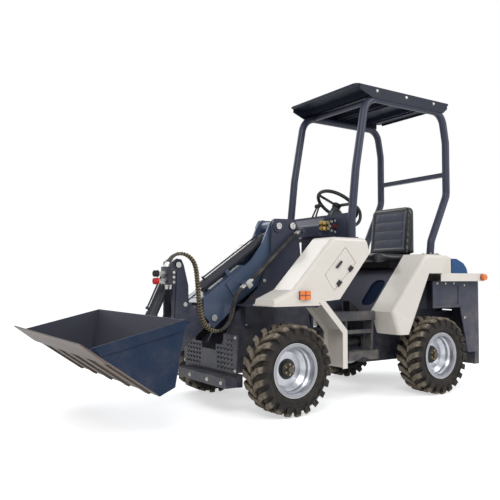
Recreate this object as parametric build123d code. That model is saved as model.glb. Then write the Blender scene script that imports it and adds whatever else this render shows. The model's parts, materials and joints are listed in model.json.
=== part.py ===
from build123d import *
import os
from math import atan2, cos, degrees, hypot, radians, sin, sqrt, tan

# Driving dimensions in millimetres: X forward from the front axle, Y left, Z up from the ground
wheelbase = 1385
track = 1014
tyre_od = 584
tyre_width = 216
tyre_wall = 20
lug_count = 22
lug_height = 24
lug_width = 38
lug_sweep = 46
lug_proud = 8
rim_bead_r = 153
rim_flange_r = 173
rim_width = 178
rim_sheet = 6
rim_disc = 8
rim_dish = 18
hub_r = 52
motor_r = 78
motor_length = 150
shaft_r = 20
run_fit = 0.05
seat_gap = 0.3
side_gap = 6

# Front frame
tower_half = 90
tower_plate = 18
boom_pivot = (-215, 1255)
tie_point = (-342, 1260)
lift_base_reach = 242.5
lift_base_z = 300
belly_z = 225
belly_plate = 20
front_frame_front = 250
lug_reach = 152.5
tower_corner = 24
axle_half_height = 62
axle_half_length = 70
guard_x = 285
guard_plate = 12
guard_half = 360
guard_low = 265
guard_high = 512
guard_notch_z = 436
guard_notch_half = 196
chevron_half = 17
chevron_drop = 14
chevron_arm = 13
chevron_pitch_y = 43
chevron_pitch_z = 31
bumper_depth = 90
bumper_low = 178
shelf_z = 700
shelf_plate = 12

# Front covers
cover_inner = 385
cover_outer = 600
cover_top = 1155
cover_wall = 6
cover_crest_r = 45
cover_ridge_r = 28
cover_lip = 10
flap_edge = 40
flap_sheet = 8
flap_x = -392
flap_low = 273
hatch_gap = 4
hatch_plate = 5

# Steering joint
lug_plate = 25
lug_low = 285
lug_high = 495
steer_pin_r = 25
lug_r = 62
steer_z = 390
steer_arm = (132, 170)
steer_base_y = 150
steer_base_setback = 80.5
steer_barrel_r = 26
steer_rod_r = 12
steer_wall = 7
steer_eye_pin_r = 14
steer_eye_r = 28
steer_rod_show = 138.4444
steer_rod_start = 140
steer_ear = 14
steer_clear = steer_barrel_r + side_gap

# Boom, along its own slope
boom_slope = 34.5
boom_datum = (96, 941)
boom_half = 70
boom_height = 190
boom_wall = 10
boom_rear = -50
boom_front = 400
inner_half = 55
inner_height = 150
inner_wall = 8
inner_rear = -30
inner_front = 500
cheek_plate = 14
collar_rise = 3
head_plate = 17
extend_axis_w = 44
extend_base_u = -368
extend_eye_u = 481
extend_barrel_r = 36
extend_rod_r = 18
extend_barrel_end = 291
lift_reach = 350
lift_angle = -67
lift_barrel_r = 42
lift_rod_r = 24
lift_barrel_length = 600
lift_rod_start = 100
tilt_top = (570, 965)
tilt_pin = (758, 568)
tool_pivot = (700, 385)
tilt_barrel_r = 36
tilt_rod_r = 19
tilt_barrel_length = 385
tilt_rod_start = 64
pivot_pin_r = 25
cylinder_wall = 9
pipe_r = 6
pipe_stand = 12
port_wall = 3
pin_r = 20
hose_r = 9
hose_pitch = 24
hose_y = 100

# Bucket, along its own floor
bucket_heel = (986, 250)
bucket_curl = 35
bucket_half = 700
bucket_wall = 8
bucket_floor = 463
bucket_lip = 531
bucket_back_low = (-52, 85)
bucket_back_top = (102, 417)
edge_plate = 14
strip_width = 60
side_strip = 8
strip_inset = 3
flange_deep = 22
flange_out = 26
carrier_plate = 18
carrier_half = 300

# Rear frame and body
platform_z = 630
platform_half = 400
platform_plate = 12
platform_fore = 212.5
platform_aft = 495
seat_floor_aft = 385
tooth_pitch = 18
tooth_height = 9
step_z = 350
step_outer = 440
step_inner = 330
step_sheet = 8
step_skirt = 60
rail_half = 230
rail_plate = 15
neck_half = 80
rear_overhang = 600
neck_wall_aft = 455
rear_rail_top = 600
pedestal_half = 160
dash_fore = 2.5
dash_top = 1360
dash_shelf = 1330
dash_low = 1166
rops_foot_z = 1178
post_r = 30
post_half = 370
rail_z = 2245
canopy_fore = 22
canopy_aft = 385
canopy_rise = 45
canopy_sheet = 7
canopy_lip = 22
canopy_skirt = 86
canopy_corner = 40
leg_inner = 350
leg_outer = 575
leg_wall = 6
leg_ridge_r = 30
deck_top = 1060
ledge_low = 853
ledge_high = 915
ledge_outer = 560
hood_half = 450
hood_front_aft = 320
hood_rear_aft = 505
hood_wall = 5
hood_hinge_z = 1035
hood_pin_r = 5
knuckle_y = 260
knuckle_length = 40
panel_half = 500
panel_sheet = 10
panel_relief = 5
panel_corner = 36
panel_low = 280
slot_count = 8
slot_pitch = 34
slot_height = 14
bumper_overhang = 745
bumper_half = 440
jaw_half = 50
tow_bore_r = 16
wheel_aft = 187.5
wheel_z = 1460
wheel_r = 170
wheel_tube_r = 14
wheel_hub_r = 34
wheel_shaft_r = 10
column_r = 28
column_tilt = 37
pedal_y = 230
seat_half = 235
seat_front_aft = 465
pedal_gap = 70
pedal_length = 90
seat_base_top = 1000
cushion_top = 1085
back_top = 1480
back_aft = 142
recess_depth = 14

# Places worked out from the driving dimensions
axle_z = tyre_od / 2
wheel_y = track / 2
rear_axle = -wheelbase
steer_x = -wheelbase / 2
front_frame_rear = steer_x + lug_reach
lift_base = (steer_x + lift_base_reach, lift_base_z)
platform_front = steer_x + platform_fore
platform_rear = rear_axle + platform_aft
seat_floor_rear = rear_axle + seat_floor_aft
neck_wall = rear_axle + neck_wall_aft
steer_base = (neck_wall - steer_base_setback, steer_base_y)
seat_front = rear_axle + seat_front_aft
dash_x = steer_x + dash_fore
wheel_centre = (steer_x - wheel_aft, wheel_z)
canopy_front = dash_x - canopy_fore
canopy_rear = rear_axle - canopy_aft
canopy_top = rail_z + post_r + canopy_rise
canopy_half = post_half + post_r + seat_gap + canopy_sheet
hood_front = rear_axle - hood_front_aft
hood_rear = rear_axle - hood_rear_aft
rear_end = rear_axle - rear_overhang
bumper_end = rear_axle - bumper_overhang
back_rear = rear_axle - back_aft
lift_eye = (boom_pivot[0] + lift_reach * cos(radians(lift_angle)),
            boom_pivot[1] + lift_reach * sin(radians(lift_angle)))
cheek_inner = boom_half
cheek_outer = boom_half + cheek_plate
head_outer = inner_half + head_plate
carrier_inner = head_outer + side_gap
carrier_outer = carrier_inner + carrier_plate
tower_outer = tower_half + tower_plate
lip_x = bucket_heel[0] + bucket_lip * cos(radians(bucket_curl))
centre_x = (lip_x + bumper_end) / 2

side = Plane.XZ
boom_cos = cos(radians(boom_slope))
boom_sin = sin(radians(boom_slope))
boom_side = Plane((boom_datum[0], 0, boom_datum[1]), (boom_cos, 0, -boom_sin), (0, -1, 0))
curl_cos = cos(radians(bucket_curl))
curl_sin = sin(radians(bucket_curl))
bucket_side = Plane((bucket_heel[0], 0, bucket_heel[1]), (curl_cos, 0, curl_sin), (0, -1, 0))


def slab(points, y0, y1, plane=side, rounds=None):
    face = make_face(Polyline(*points, close=True))
    for index, radius in (rounds or {}).items():
        x, z = points[index]
        face = fillet(face.vertices().sort_by_distance((x, z, 0))[0], radius)
    return extrude(plane.offset(-y1) * face, y1 - y0)


def soften(shape, points, runs, y, radius):
    edges = []
    for run in runs:
        x0, z0 = points[run]
        x1, z1 = points[(run + 1) % len(points)]
        edges.append(shape.edges().sort_by_distance(((x0 + x1) / 2, y, (z0 + z1) / 2))[0])
    return fillet(edges, radius)


def toothed(x0, x1, z):
    count = 2 * round(abs(x1 - x0) / tooth_pitch / 2)
    return [(x0 + (x1 - x0) * i / count, z + tooth_height * (i % 2)) for i in range(count + 1)]


def block(x0, x1, y0, y1, z0, z1):
    return Pos((x0 + x1) / 2, (y0 + y1) / 2, (z0 + z1) / 2) * Box(abs(x1 - x0), abs(y1 - y0), abs(z1 - z0))


def bar(start, end, radius):
    start = Vector(*start)
    way = Vector(*end) - start
    place = Plane(origin=start, z_dir=way)
    return place * Cylinder(radius, way.length, align=(Align.CENTER, Align.CENTER, Align.MIN))


def cross_pin(x, z, radius, y0, y1):
    return bar((x, y0, z), (x, y1, z), radius)


def upright_pin(x, y, radius, z0, z1):
    return bar((x, y, z0), (x, y, z1), radius)


def both(shape):
    return shape + mirror(shape, Plane.XZ)


def along_boom(u, w):
    return (boom_datum[0] + u * boom_cos + w * boom_sin, boom_datum[1] - u * boom_sin + w * boom_cos)


def along_bucket(a, b):
    return (bucket_heel[0] + a * curl_cos - b * curl_sin, bucket_heel[1] + a * curl_sin + b * curl_cos)


def inset(points, distance):
    lines = []
    for (x0, z0), (x1, z1) in zip(points, points[1:] + points[:1]):
        length = hypot(x1 - x0, z1 - z0)
        nx = -(z1 - z0) / length
        nz = (x1 - x0) / length
        lines.append((x0 + nx * distance, z0 + nz * distance, (x1 - x0) / length, (z1 - z0) / length))
    corners = []
    for (px, pz, dx, dz), (qx, qz, ex, ez) in zip(lines[-1:] + lines[:-1], lines):
        t = ((qx - px) * ez - (qz - pz) * ex) / (dx * ez - dz * ex)
        corners.append((px + dx * t, pz + dz * t))
    return corners


def cord_radii(points):
    radii = []
    for before, here, after in zip(points, points[1:], points[2:]):
        first = Vector(*here) - Vector(*before)
        second = Vector(*after) - Vector(*here)
        turn = radians(first.get_angle(second))
        radii.append(0.45 * min(first.length, second.length) / tan(turn / 2))
    return radii


def cord(name, points, radius):
    radii = cord_radii(points)
    print(name, "radii", [round(r) for r in radii])
    path = FilletPolyline(*points, radius=radii)
    section = Plane(origin=path @ 0, z_dir=path % 0) * Circle(radius)
    tube = sweep(section, path=path)
    print(name, "volume ratio", round(tube.volume / (section.area * path.length), 4))
    return tube


def cylinder_barrel(base, eye, length, radius, rod_radius, eye_r, eye_half, eye_pin_r):
    way = Vector(eye[0] - base[0], 0, eye[1] - base[1]).normalized()
    root = Vector(base[0], 0, base[1])
    gland = 34
    collar = 4
    foot = eye_r - 4
    body = bar(root + way * foot, root + way * length, radius)
    body += bar(root + way * (length - gland), root + way * length, radius + collar)
    body += cross_pin(*base, eye_r, -eye_half, eye_half)
    body -= cross_pin(*base, eye_pin_r + run_fit, -eye_half, eye_half)
    body -= bar(root + way * (eye_r + 14), root + way * (length - gland), radius - cylinder_wall)
    body -= bar(root + way * (length - gland - 1), root + way * (length + 1), rod_radius + run_fit)
    return body


def feed_pipe(base, eye, start, end, stand_off):
    way = Vector(eye[0] - base[0], 0, eye[1] - base[1]).normalized()
    root = Vector(base[0], 0, base[1])
    out = Vector(-way.Z, 0, way.X)
    if out.X + out.Z < 0:
        out = -out
    pipe = bar(root + way * start + out * stand_off, root + way * end + out * stand_off, pipe_r)
    for along in (start + pipe_r, end - pipe_r):
        port = root + way * along
        root_out = stand_off - pipe_stand - cylinder_wall / 2
        pipe += bar(port + out * root_out, port + out * (stand_off + pipe_r + port_wall), pipe_r + port_wall)
    return pipe


def cylinder_rod(base, eye, start, barrel_radius, rod_radius, eye_r, eye_half):
    way = Vector(eye[0] - base[0], 0, eye[1] - base[1]).normalized()
    root = Vector(base[0], 0, base[1])
    piston = 26
    tip = Vector(eye[0], 0, eye[1])
    rod = bar(root + way * start, tip, rod_radius)
    rod += bar(root + way * start, root + way * (start + piston), barrel_radius - cylinder_wall - run_fit)
    return rod + cross_pin(*eye, eye_r, -eye_half, eye_half)


# Hoses: two from the tower to the boom clip, two round the free loop to the head
tower_hose = [(-379, 128, 1218), (-330, 128, 1190), (-285, 130, 1152), (-225, 133, 1098), (-150, 136, 1036),
              (-70, 137, 962), (5, 137, 890.7), (71.1, 137, 845.3)]
loop_hose = [(96.3, 137, 827.9), (150.7, 137, 790.5), (187, 139, 722), (207, 143, 614), (254, 147, 544),
             (330, 149, 519),
             (404, 147, 549), (442, 143, 620), (458, 137, 739), (462, 127, 850), (466, 116, 945),
             (491, 110, 1002),
             (542, 104, 1037), (604, 101, 1037), (654, 100, 1001), (678.4, 100, 946.2)]
hose_clip_u = 34
hose_clip_w = -93
hose_block_half = 18
hose_reach = 137 + hose_pitch + 22


def beside_hose(points):
    return [(x, y + hose_pitch, z) for x, y, z in points]


def square_face(before, end):
    length = hypot(end[0] - before[0], end[2] - before[2])
    dx = (end[0] - before[0]) / length
    dz = (end[2] - before[2]) / length
    x = end[0] + dx * seat_gap
    z = end[2] + dz * seat_gap
    return ((x + dz * hose_block_half, z - dx * hose_block_half),
            (x - dz * hose_block_half, z + dx * hose_block_half))


def hose_block(before, end, depth, y0):
    (ax, az), (bx, bz) = square_face(before, end)
    length = hypot(end[0] - before[0], end[2] - before[2])
    dx = (end[0] - before[0]) / length * depth
    dz = (end[2] - before[2]) / length * depth
    return slab([(ax, az), (bx, bz), (bx + dx, bz + dz), (ax + dx, az + dz)], y0, hose_reach)


# Wheels: lugged tyre, dished rim with its hub
def tyre_form():
    half = tyre_width / 2
    flank = half - lug_proud
    crown = tyre_od / 2 - lug_height
    bead = rim_width / 2 - rim_sheet - seat_gap
    lip = rim_flange_r + 4
    shoulder_r = crown - 26
    outer = [(rim_bead_r + seat_gap, bead), (lip, bead), (lip + 20, flank), (shoulder_r, flank),
             (crown - 8, flank - 14), (crown, flank - 42)]
    inner = [(rim_bead_r - 20, bead - tyre_wall), (shoulder_r - tyre_wall, flank - tyre_wall),
             (crown - tyre_wall, flank - 50)]
    ring = revolve(make_face(Polyline(*outer, *[(r, -y) for r, y in outer[::-1]], close=True)), axis=Axis.Y)
    hollow = revolve(make_face(Polyline(*inner, *[(r, -y) for r, y in inner[::-1]], close=True)), axis=Axis.Y)
    knee = half / 2
    root = shoulder_r - 14
    top = sqrt((tyre_od / 2) ** 2 - lug_sweep ** 2)
    plan = [(lug_sweep - lug_width, 6), (lug_sweep, 6), (lug_width / 4, knee), (lug_width - lug_sweep, half),
            (-lug_sweep, half), (-lug_width * 3 / 4, knee)]
    lug = Pos(0, 0, root) * extrude(make_face(Polyline(*plan, close=True)), top - root)
    lug = chamfer(lug.faces().sort_by(Axis.Z)[-1].edges().sort_by(Axis.Y)[-1], 18)
    pitch = 360 / lug_count
    start = -degrees(atan2(lug_sweep, top))
    lugs = []
    for i in range(lug_count):
        lugs.append(Rot(Y=start + i * pitch) * lug)
        lugs.append(Rot(Y=start + (i + 0.5) * pitch) * mirror(lug, Plane.XZ))
    return ring + lugs - hollow


tyre_left = tyre_form()
tyre_right = mirror(tyre_left, Plane.XZ)


def tyre(x, hand):
    return Pos(x, hand * wheel_y, axle_z) * (tyre_left if hand > 0 else tyre_right)


def rim(x, hand):
    half = rim_width / 2
    well = rim_bead_r - rim_sheet
    back = -rim_dish
    face = back + rim_disc
    outline = [(well, -half), (rim_flange_r, -half), (rim_flange_r, rim_sheet - half),
               (rim_bead_r, rim_sheet - half),
               (rim_bead_r, half - rim_sheet), (rim_flange_r, half - rim_sheet), (rim_flange_r, half),
               (well + 4, half),
               (well, half - 12), (well, half - 40), (well - 10, half - 52), (well - 10, face + 24),
               (well - 36, face),
               (0, face), (0, back), (well, back)]
    body = revolve(make_face(Polyline(*outline, close=True)), axis=Axis.Y)
    boss_r = 22
    cap = [(0, face), (hub_r + 14, face), (hub_r + 8, face + 8), (hub_r, face + 8), (hub_r, face + 22),
           (hub_r - 10, face + 32), (boss_r, face + 32), (boss_r, face + 52), (0, face + 52)]
    body += revolve(make_face(Polyline(*cap, close=True)), axis=Axis.Y)
    spindle = [(0, back), (shaft_r, back), (shaft_r, back - 60), (0, back - 60)]
    body += revolve(make_face(Polyline(*spindle, close=True)), axis=Axis.Y)
    if hand < 0:
        body = mirror(body, Plane.XZ)
    return Pos(x, hand * wheel_y, axle_z) * body


motor_face = wheel_y - rim_dish - side_gap
motor_root = motor_face - motor_length


def wheel_motors(x):
    neck = 60
    housing = cross_pin(x, axle_z, motor_r, motor_root, motor_face - neck)
    housing += cross_pin(x, axle_z, motor_r - 16, motor_face - neck - 2, motor_face)
    housing -= cross_pin(x, axle_z, shaft_r + run_fit, motor_face - neck - 10, motor_face)
    return both(housing)


# Front frame: tower plates, belly, axle stubs, steering lugs and cover shelves
tower_outline = [(front_frame_rear, belly_z), (front_frame_front, belly_z), (front_frame_front, 430),
                 (140, 640),
                 (-45, 809), (-150, 1060), (boom_pivot[0] + 55, boom_pivot[1]),
                 (boom_pivot[0] + 30, boom_pivot[1] + 53),
                 (tie_point[0] - 20, tie_point[1] + 52), (tie_point[0] - 55, tie_point[1]),
                 (front_frame_rear + 90, 800), (front_frame_rear, 420)]
tower_rounds = {index: tower_corner for index in range(2, 11)}


def front_chassis():
    tower = slab(tower_outline, tower_half, tower_outer, rounds=tower_rounds)
    frame = both(tower)
    frame += block(front_frame_rear, front_frame_front, -tower_outer, tower_outer, belly_z,
                   belly_z + belly_plate)
    frame += block(front_frame_rear, front_frame_rear + belly_plate, -tower_outer, tower_outer, belly_z, 600)
    axle = block(-axle_half_length, axle_half_length, tower_half, motor_root, axle_z - axle_half_height,
                 axle_z + axle_half_height)
    frame += both(axle)
    frame += block(front_frame_front, guard_x - seat_gap, -guard_half, guard_half, bumper_low, guard_low - 5)
    frame += block(front_frame_front, guard_x + bumper_depth, -guard_half + 10, guard_half - 10, bumper_low,
                   guard_low - 25)
    stay = block(front_frame_front - 30, guard_x - seat_gap, tower_half, tower_outer, guard_low - 20, 430)
    frame += both(stay)
    shelf = block(-190, 150, tower_outer - 2, cover_outer - 10, shelf_z - shelf_plate - seat_gap,
                  shelf_z - seat_gap)
    gusset = slab([(-150, 560), (90, 560), (90, shelf_z - shelf_plate), (-150, shelf_z - shelf_plate)],
                  tower_outer - 2,
                  tower_outer + 40)
    frame += both(shelf + gusset)
    frame += cross_pin(*boom_pivot, pivot_pin_r, -tower_outer - 14, tower_outer + 14)
    frame += both(cross_pin(*boom_pivot, pivot_pin_r + 22, tower_outer - 1, tower_outer + 8))
    frame += cross_pin(*tie_point, 26, -tower_outer - 10, tower_outer + 10)
    frame += hose_block(tower_hose[1], tower_hose[0], 24, tower_outer - 2)
    frame += cross_pin(*lift_base, pin_r, -tower_outer - 8, tower_outer + 8)
    for z0 in (lug_low, lug_high - lug_plate):
        lug = block(steer_x, front_frame_rear + 5, -lug_r, lug_r, z0, z0 + lug_plate)
        lug += upright_pin(steer_x, 0, lug_r, z0, z0 + lug_plate)
        frame += lug - upright_pin(steer_x, 0, steer_pin_r + run_fit, z0 - 1, z0 + lug_plate + 1)
    arm_x = steer_x + steer_arm[0]
    for z0 in (steer_z - steer_clear - steer_ear, steer_z + steer_clear):
        frame += block(arm_x - 32, front_frame_rear + 5, tower_half, steer_arm[1] + 40, z0, z0 + steer_ear)
    return frame


def front_guard():
    plate = block(guard_x, guard_x + guard_plate, -guard_half, guard_half, guard_low, guard_high)
    low = guard_x - 1
    high = guard_x + guard_plate + 1
    plate -= block(low, high, -guard_notch_half, guard_notch_half, guard_notch_z, guard_high + 1)
    plate -= block(low, high, -carrier_outer, carrier_outer, guard_notch_z - 41, guard_high + 1)
    chevron = [(-chevron_half, chevron_drop / 2), (0, -chevron_drop / 2), (chevron_half, chevron_drop / 2),
               (chevron_half, chevron_drop / 2 - chevron_arm), (0, -chevron_drop / 2 - chevron_arm),
               (-chevron_half, chevron_drop / 2 - chevron_arm)]
    hole = extrude(Plane.YZ.offset(low) * make_face(Polyline(*chevron, close=True)), high - low)
    holes = []
    first_y = carrier_outer + chevron_half + 12
    first_z = guard_low + chevron_drop + chevron_arm + 4
    rows = int((guard_high - 12 - first_z) / chevron_pitch_z) + 1
    columns = int((guard_half - chevron_half - 10 - first_y) / chevron_pitch_y) + 1
    for row in range(rows):
        z = first_z + row * chevron_pitch_z
        for column in range(columns):
            y = first_y + column * chevron_pitch_y
            if z + chevron_drop < guard_notch_z or y - chevron_half > guard_notch_half + 8:
                holes += [Pos(0, y, z) * hole, Pos(0, -y, z) * hole]
    return plate - holes


cover_outline = [(177, shelf_z), (165, 742), (21, 802), (-320, cover_top), (-625, cover_top), (-657, 1065),
                 (-366, 736), (-190, 722), (-190, shelf_z)]
hatch_outline = [(-420, 1090), (-515, 981), (-315, 792), (-237, 899)]
hatch_hinge = ((-515, 981), (-315, 792))
hinge_y = cover_outer + 6 + seat_gap


def cover_form(points, y0, y1, crest_r, ridge_r):
    form = slab(points, y0, y1, rounds={3: crest_r, 4: crest_r})
    return soften(form, points, (1, 2), y1, ridge_r)


def front_cover(hand):
    shell = cover_form(cover_outline, cover_inner, cover_outer, cover_crest_r, cover_ridge_r)
    front = cover_outline[0][0] + cover_lip
    rear = cover_outline[-1][0]
    shell += block(rear, front, cover_inner, cover_outer + cover_lip, shelf_z, shelf_z + cover_lip)
    hollow = inset(cover_outline, cover_wall)
    hollow[0] = (hollow[0][0], shelf_z - 1)
    hollow[-1] = (hollow[-1][0], shelf_z - 1)
    shell -= cover_form(hollow, cover_inner + cover_wall, cover_outer - cover_wall,
                        cover_crest_r - cover_wall,
                        cover_ridge_r - cover_wall)
    shell -= slab(hatch_outline, cover_outer - cover_wall - 1, cover_outer + 1)
    frame = slab(inset(hatch_outline, -14), cover_outer - cover_wall - 10, cover_outer - cover_wall)
    frame -= slab(inset(hatch_outline, 26), cover_outer - cover_wall - 11, cover_outer)
    shell += frame
    knee = (flap_x, 511)
    flange = [cover_outline[7], knee, (flap_x, flap_low), (flap_x - flap_edge, flap_low),
              (flap_x - flap_edge, knee[1] + 17),
              (rear - 50, 728)]
    sheet = [(rear - 50 + flap_sheet * 1.4, 727), (flap_x - flap_edge + flap_sheet, knee[1] + 14),
             (flap_x - flap_edge + flap_sheet, flap_low), (flap_x - flap_edge, flap_low),
             (flap_x - flap_edge, knee[1] + 17), (rear - 50, 728)]
    flap_inner = cover_inner + 15
    shell += slab(sheet, flap_inner, cover_outer)
    shell += slab(flange, flap_inner, flap_inner + flap_sheet)
    shell += slab(flange, cover_outer - flap_sheet, cover_outer)
    return shell if hand > 0 else mirror(shell, Plane.XZ)


def front_hatch(hand):
    leaf = slab(inset(hatch_outline, hatch_gap), cover_outer - cover_wall + seat_gap,
                cover_outer - cover_wall + seat_gap + hatch_plate)
    (x0, z0), (x1, z1) = hatch_hinge
    for share in (0.24, 0.76):
        x = x0 + (x1 - x0) * share
        z = z0 + (z1 - z0) * share
        knuckle = bar((x - 16, hinge_y, z + 15), (x + 16, hinge_y, z - 15), 6)
        strap = slab([(x - 12, z + 18), (x + 16, z - 10), (x + 30, z + 4), (x + 2, z + 32)], cover_outer - 2,
                     cover_outer + 4)
        leaf += knuckle + strap
    latch = slab([(-385, 985), (-340, 942), (-330, 952), (-375, 995)], cover_outer - 2, cover_outer + 12)
    leaf += latch
    return leaf if hand > 0 else mirror(leaf, Plane.XZ)


def front_lamps():
    x0, x1, z0, z1 = (-105, -20, 738, 796)
    face = cover_outer + 18
    groove = 3
    lens = fillet(block(x0, x1, cover_outer + seat_gap, face, z0, z1).edges().filter_by(Axis.Y), 8)
    middle_x = (x0 + x1) / 2
    middle_z = (z0 + z1) / 2
    lens -= block(middle_x - groove, middle_x + groove, face - groove, face + 1, z0 - 1, z1 + 1)
    lens -= block(x0 - 1, x1 + 1, face - groove, face + 1, middle_z - groove, middle_z + groove)
    return both(lens)


# Boom: outer box with cheeks and collar, inner box with the upright head
pivot_dx = boom_pivot[0] - boom_datum[0]
pivot_dz = boom_pivot[1] - boom_datum[1]
pivot_u = pivot_dx * boom_cos - pivot_dz * boom_sin
pivot_w = pivot_dx * boom_sin + pivot_dz * boom_cos
cheek_outline = [(150, -20), (150, -170), (-120, -boom_height + 5), (-240, -130),
                 (pivot_u - 52, pivot_w - 20),
                 (pivot_u - 50, pivot_w + 25), (pivot_u - 20, pivot_w + 54), (pivot_u + 30, pivot_w + 50),
                 (-250, 40),
                 (-120, 0)]


def outer_boom():
    tube = slab([(boom_rear, 0), (boom_rear, -boom_height), (boom_front, -boom_height), (boom_front, 0)],
                -boom_half,
                boom_half, boom_side)
    tube -= slab([(boom_rear - 1, -boom_wall), (boom_rear - 1, boom_wall - boom_height),
                  (boom_front + 1, boom_wall - boom_height), (boom_front + 1, -boom_wall)],
                 boom_wall - boom_half, boom_half - boom_wall, boom_side)
    collar = slab([(boom_front - 150, collar_rise), (boom_front - 170, -boom_height - 8),
                   (boom_front - 10, -boom_height - 22),
                   (boom_front + 14, -boom_height / 2), (boom_front - 50, collar_rise)], -cheek_outer,
                   cheek_outer, boom_side)
    collar -= slab([(boom_front - 200, -boom_wall), (boom_front - 200, boom_wall - boom_height),
                    (boom_front + 100, boom_wall - boom_height), (boom_front + 100, -boom_wall)],
                   boom_wall - boom_half, boom_half - boom_wall, boom_side)
    boom = tube + collar
    boss = along_boom(boom_front - 40, -boom_height / 2 - 60)
    boom += both(cross_pin(*boss, pin_r + 4, cheek_outer - 1, cheek_outer + 9))
    boom += both(slab(cheek_outline, cheek_inner, cheek_outer, boom_side))
    ring = cross_pin(*boom_pivot, pivot_pin_r + 15, -cheek_outer, cheek_outer)
    boom += ring
    boom -= cross_pin(*boom_pivot, pivot_pin_r + run_fit, -cheek_outer - 1, cheek_outer + 1)
    boom += cross_pin(*along_boom(extend_base_u, extend_axis_w), pin_r - 3, -cheek_inner - 1, cheek_inner + 1)
    inner_top = -(boom_height - inner_height) / 2
    for u0 in (boom_front - 70, boom_front - 20):
        pad_top = slab([(u0, -boom_wall + 1), (u0, inner_top + seat_gap), (u0 + 16, inner_top + seat_gap),
                        (u0 + 16, -boom_wall + 1)], -30, 30, boom_side)
        low = inner_top - inner_height
        pad_low = slab([(u0, low - seat_gap), (u0, boom_wall - boom_height - 1),
                        (u0 + 16, boom_wall - boom_height - 1),
                        (u0 + 16, low - seat_gap)], -30, 30, boom_side)
        boom += pad_top + pad_low
    saddle = slab([(60, -2), (60, extend_axis_w), (90, extend_axis_w), (90, -2)], -extend_barrel_r - 8,
                  extend_barrel_r + 8,
                  boom_side)
    start = along_boom(0, extend_axis_w)
    end = along_boom(150, extend_axis_w)
    saddle -= bar((start[0], 0, start[1]), (end[0], 0, end[1]), extend_barrel_r + seat_gap)
    boom += saddle
    low = hose_clip_w - hose_block_half
    high = hose_clip_w + hose_block_half
    clip = slab([(hose_clip_u, high), (hose_clip_u, low), (hose_clip_u + 30, low), (hose_clip_u + 30, high)],
                cheek_outer - 2, hose_reach, boom_side)
    return boom + clip


def inner_boom():
    top = -(boom_height - inner_height) / 2
    low = top - inner_height
    tube = slab([(inner_rear, top), (inner_rear, low), (inner_front, low), (inner_front, top)], -inner_half,
                inner_half,
                boom_side)
    tube -= slab([(inner_rear - 1, top - inner_wall), (inner_rear - 1, low + inner_wall),
                  (inner_front + 1, low + inner_wall), (inner_front + 1, top - inner_wall)],
                 inner_wall - inner_half, inner_half - inner_wall, boom_side)
    tx, tz = tool_pivot
    hx, hz = tilt_top
    outline = [along_boom(boom_front + 34, top), along_boom(boom_front + 34, low), (tx - 130, tz - 5),
               (tx - 12, tz - 46),
               (tx + 34, tz - 34), (tx + 46, tz), (tx + 36, tz + 34), (tx - 70, tz + 180),
               (tx - 92, tz + 250),
               (hx + 42, hz - 30), (hx + 38, hz + 22), (hx + 10, hz + 42), (hx - 24, hz + 36), (hx - 42, hz),
               (hx - 76, hz - 135), along_boom(boom_front + 50, top + 60)]
    head = both(slab(outline, inner_half - 2, head_outer))
    boom = tube + head
    rib = [(hx - 12, hz - 44), (hx + 12, hz - 44), (tx - 106, tz + 232), (tx - 132, tz + 232)]
    boom += both(slab(rib, head_outer - 1, head_outer + 7))
    boom += cross_pin(tx, tz, pivot_pin_r + 20, -head_outer, head_outer)
    boom -= cross_pin(tx, tz, pivot_pin_r - 3 + run_fit, -head_outer - 1, head_outer + 1)
    boom += cross_pin(hx, hz, pin_r, -head_outer - 8, head_outer + 8)
    boom += cross_pin(*along_boom(extend_eye_u, extend_axis_w), pin_r - 4, -head_outer - 6, head_outer + 6)
    web = slab([(tx - 150, tz + 40), (tx - 60, tz + 30), (tx - 92, tz + 120), (tx - 180, tz + 130)],
               -inner_half, inner_half)
    boom += web
    pad = slab([(inner_rear, top - 1), (inner_rear, top + 9.5), (inner_rear + 30, top + 9.5),
                (inner_rear + 30, top - 1)],
               -30, 30, boom_side)
    return boom + pad


def extend_barrel():
    base = along_boom(extend_base_u, extend_axis_w)
    eye = along_boom(extend_eye_u, extend_axis_w)
    length = extend_barrel_end - extend_base_u
    barrel = cylinder_barrel(base, eye, length, extend_barrel_r, extend_rod_r, 30, 34, pin_r - 3)
    return barrel + feed_pipe(base, eye, 70, length - 46, extend_barrel_r + pipe_stand)


def extend_rod():
    base = along_boom(extend_base_u, extend_axis_w)
    eye = along_boom(extend_eye_u, extend_axis_w)
    rod = cylinder_rod(base, eye, 90, extend_barrel_r, extend_rod_r, 27, 32)
    return rod - cross_pin(*eye, pin_r - 4 + run_fit, -40, 40)


def lift_barrel():
    return cylinder_barrel(lift_base, lift_eye, lift_barrel_length, lift_barrel_r, lift_rod_r, 38, 40, pin_r)


def lift_rod():
    return cylinder_rod(lift_base, lift_eye, lift_rod_start, lift_barrel_r, lift_rod_r, 33,
                        cheek_inner - side_gap)


def tilt_barrel():
    barrel = cylinder_barrel(tilt_top, tilt_pin, tilt_barrel_length, tilt_barrel_r, tilt_rod_r, 36, 42, pin_r)
    return barrel + feed_pipe(tilt_top, tilt_pin, 74, tilt_barrel_length - 46, tilt_barrel_r + pipe_stand)


def tilt_rod():
    return cylinder_rod(tilt_top, tilt_pin, tilt_rod_start, tilt_barrel_r, tilt_rod_r, 28,
                        carrier_inner - side_gap)


def hydraulic_couplers():
    y0 = head_outer + seat_gap
    middle = (y0 + hose_reach) / 2
    low = tilt_top[1] - 130
    rear = tilt_top[0] + 24
    (back_x, back_z), (front_x, front_z) = square_face(loop_hose[-2], loop_hose[-1])
    body = slab([(rear, low), (front_x, low), (front_x, front_z), (back_x, back_z), (rear, back_z)], y0,
                hose_reach)
    for z in (low + 24, low + 72):
        body += bar((front_x - 2, middle, z), (front_x + 40, middle, z), 12)
        body += bar((front_x + 38, middle, z), (front_x + 72, middle, z), 19)
    return body


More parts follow.
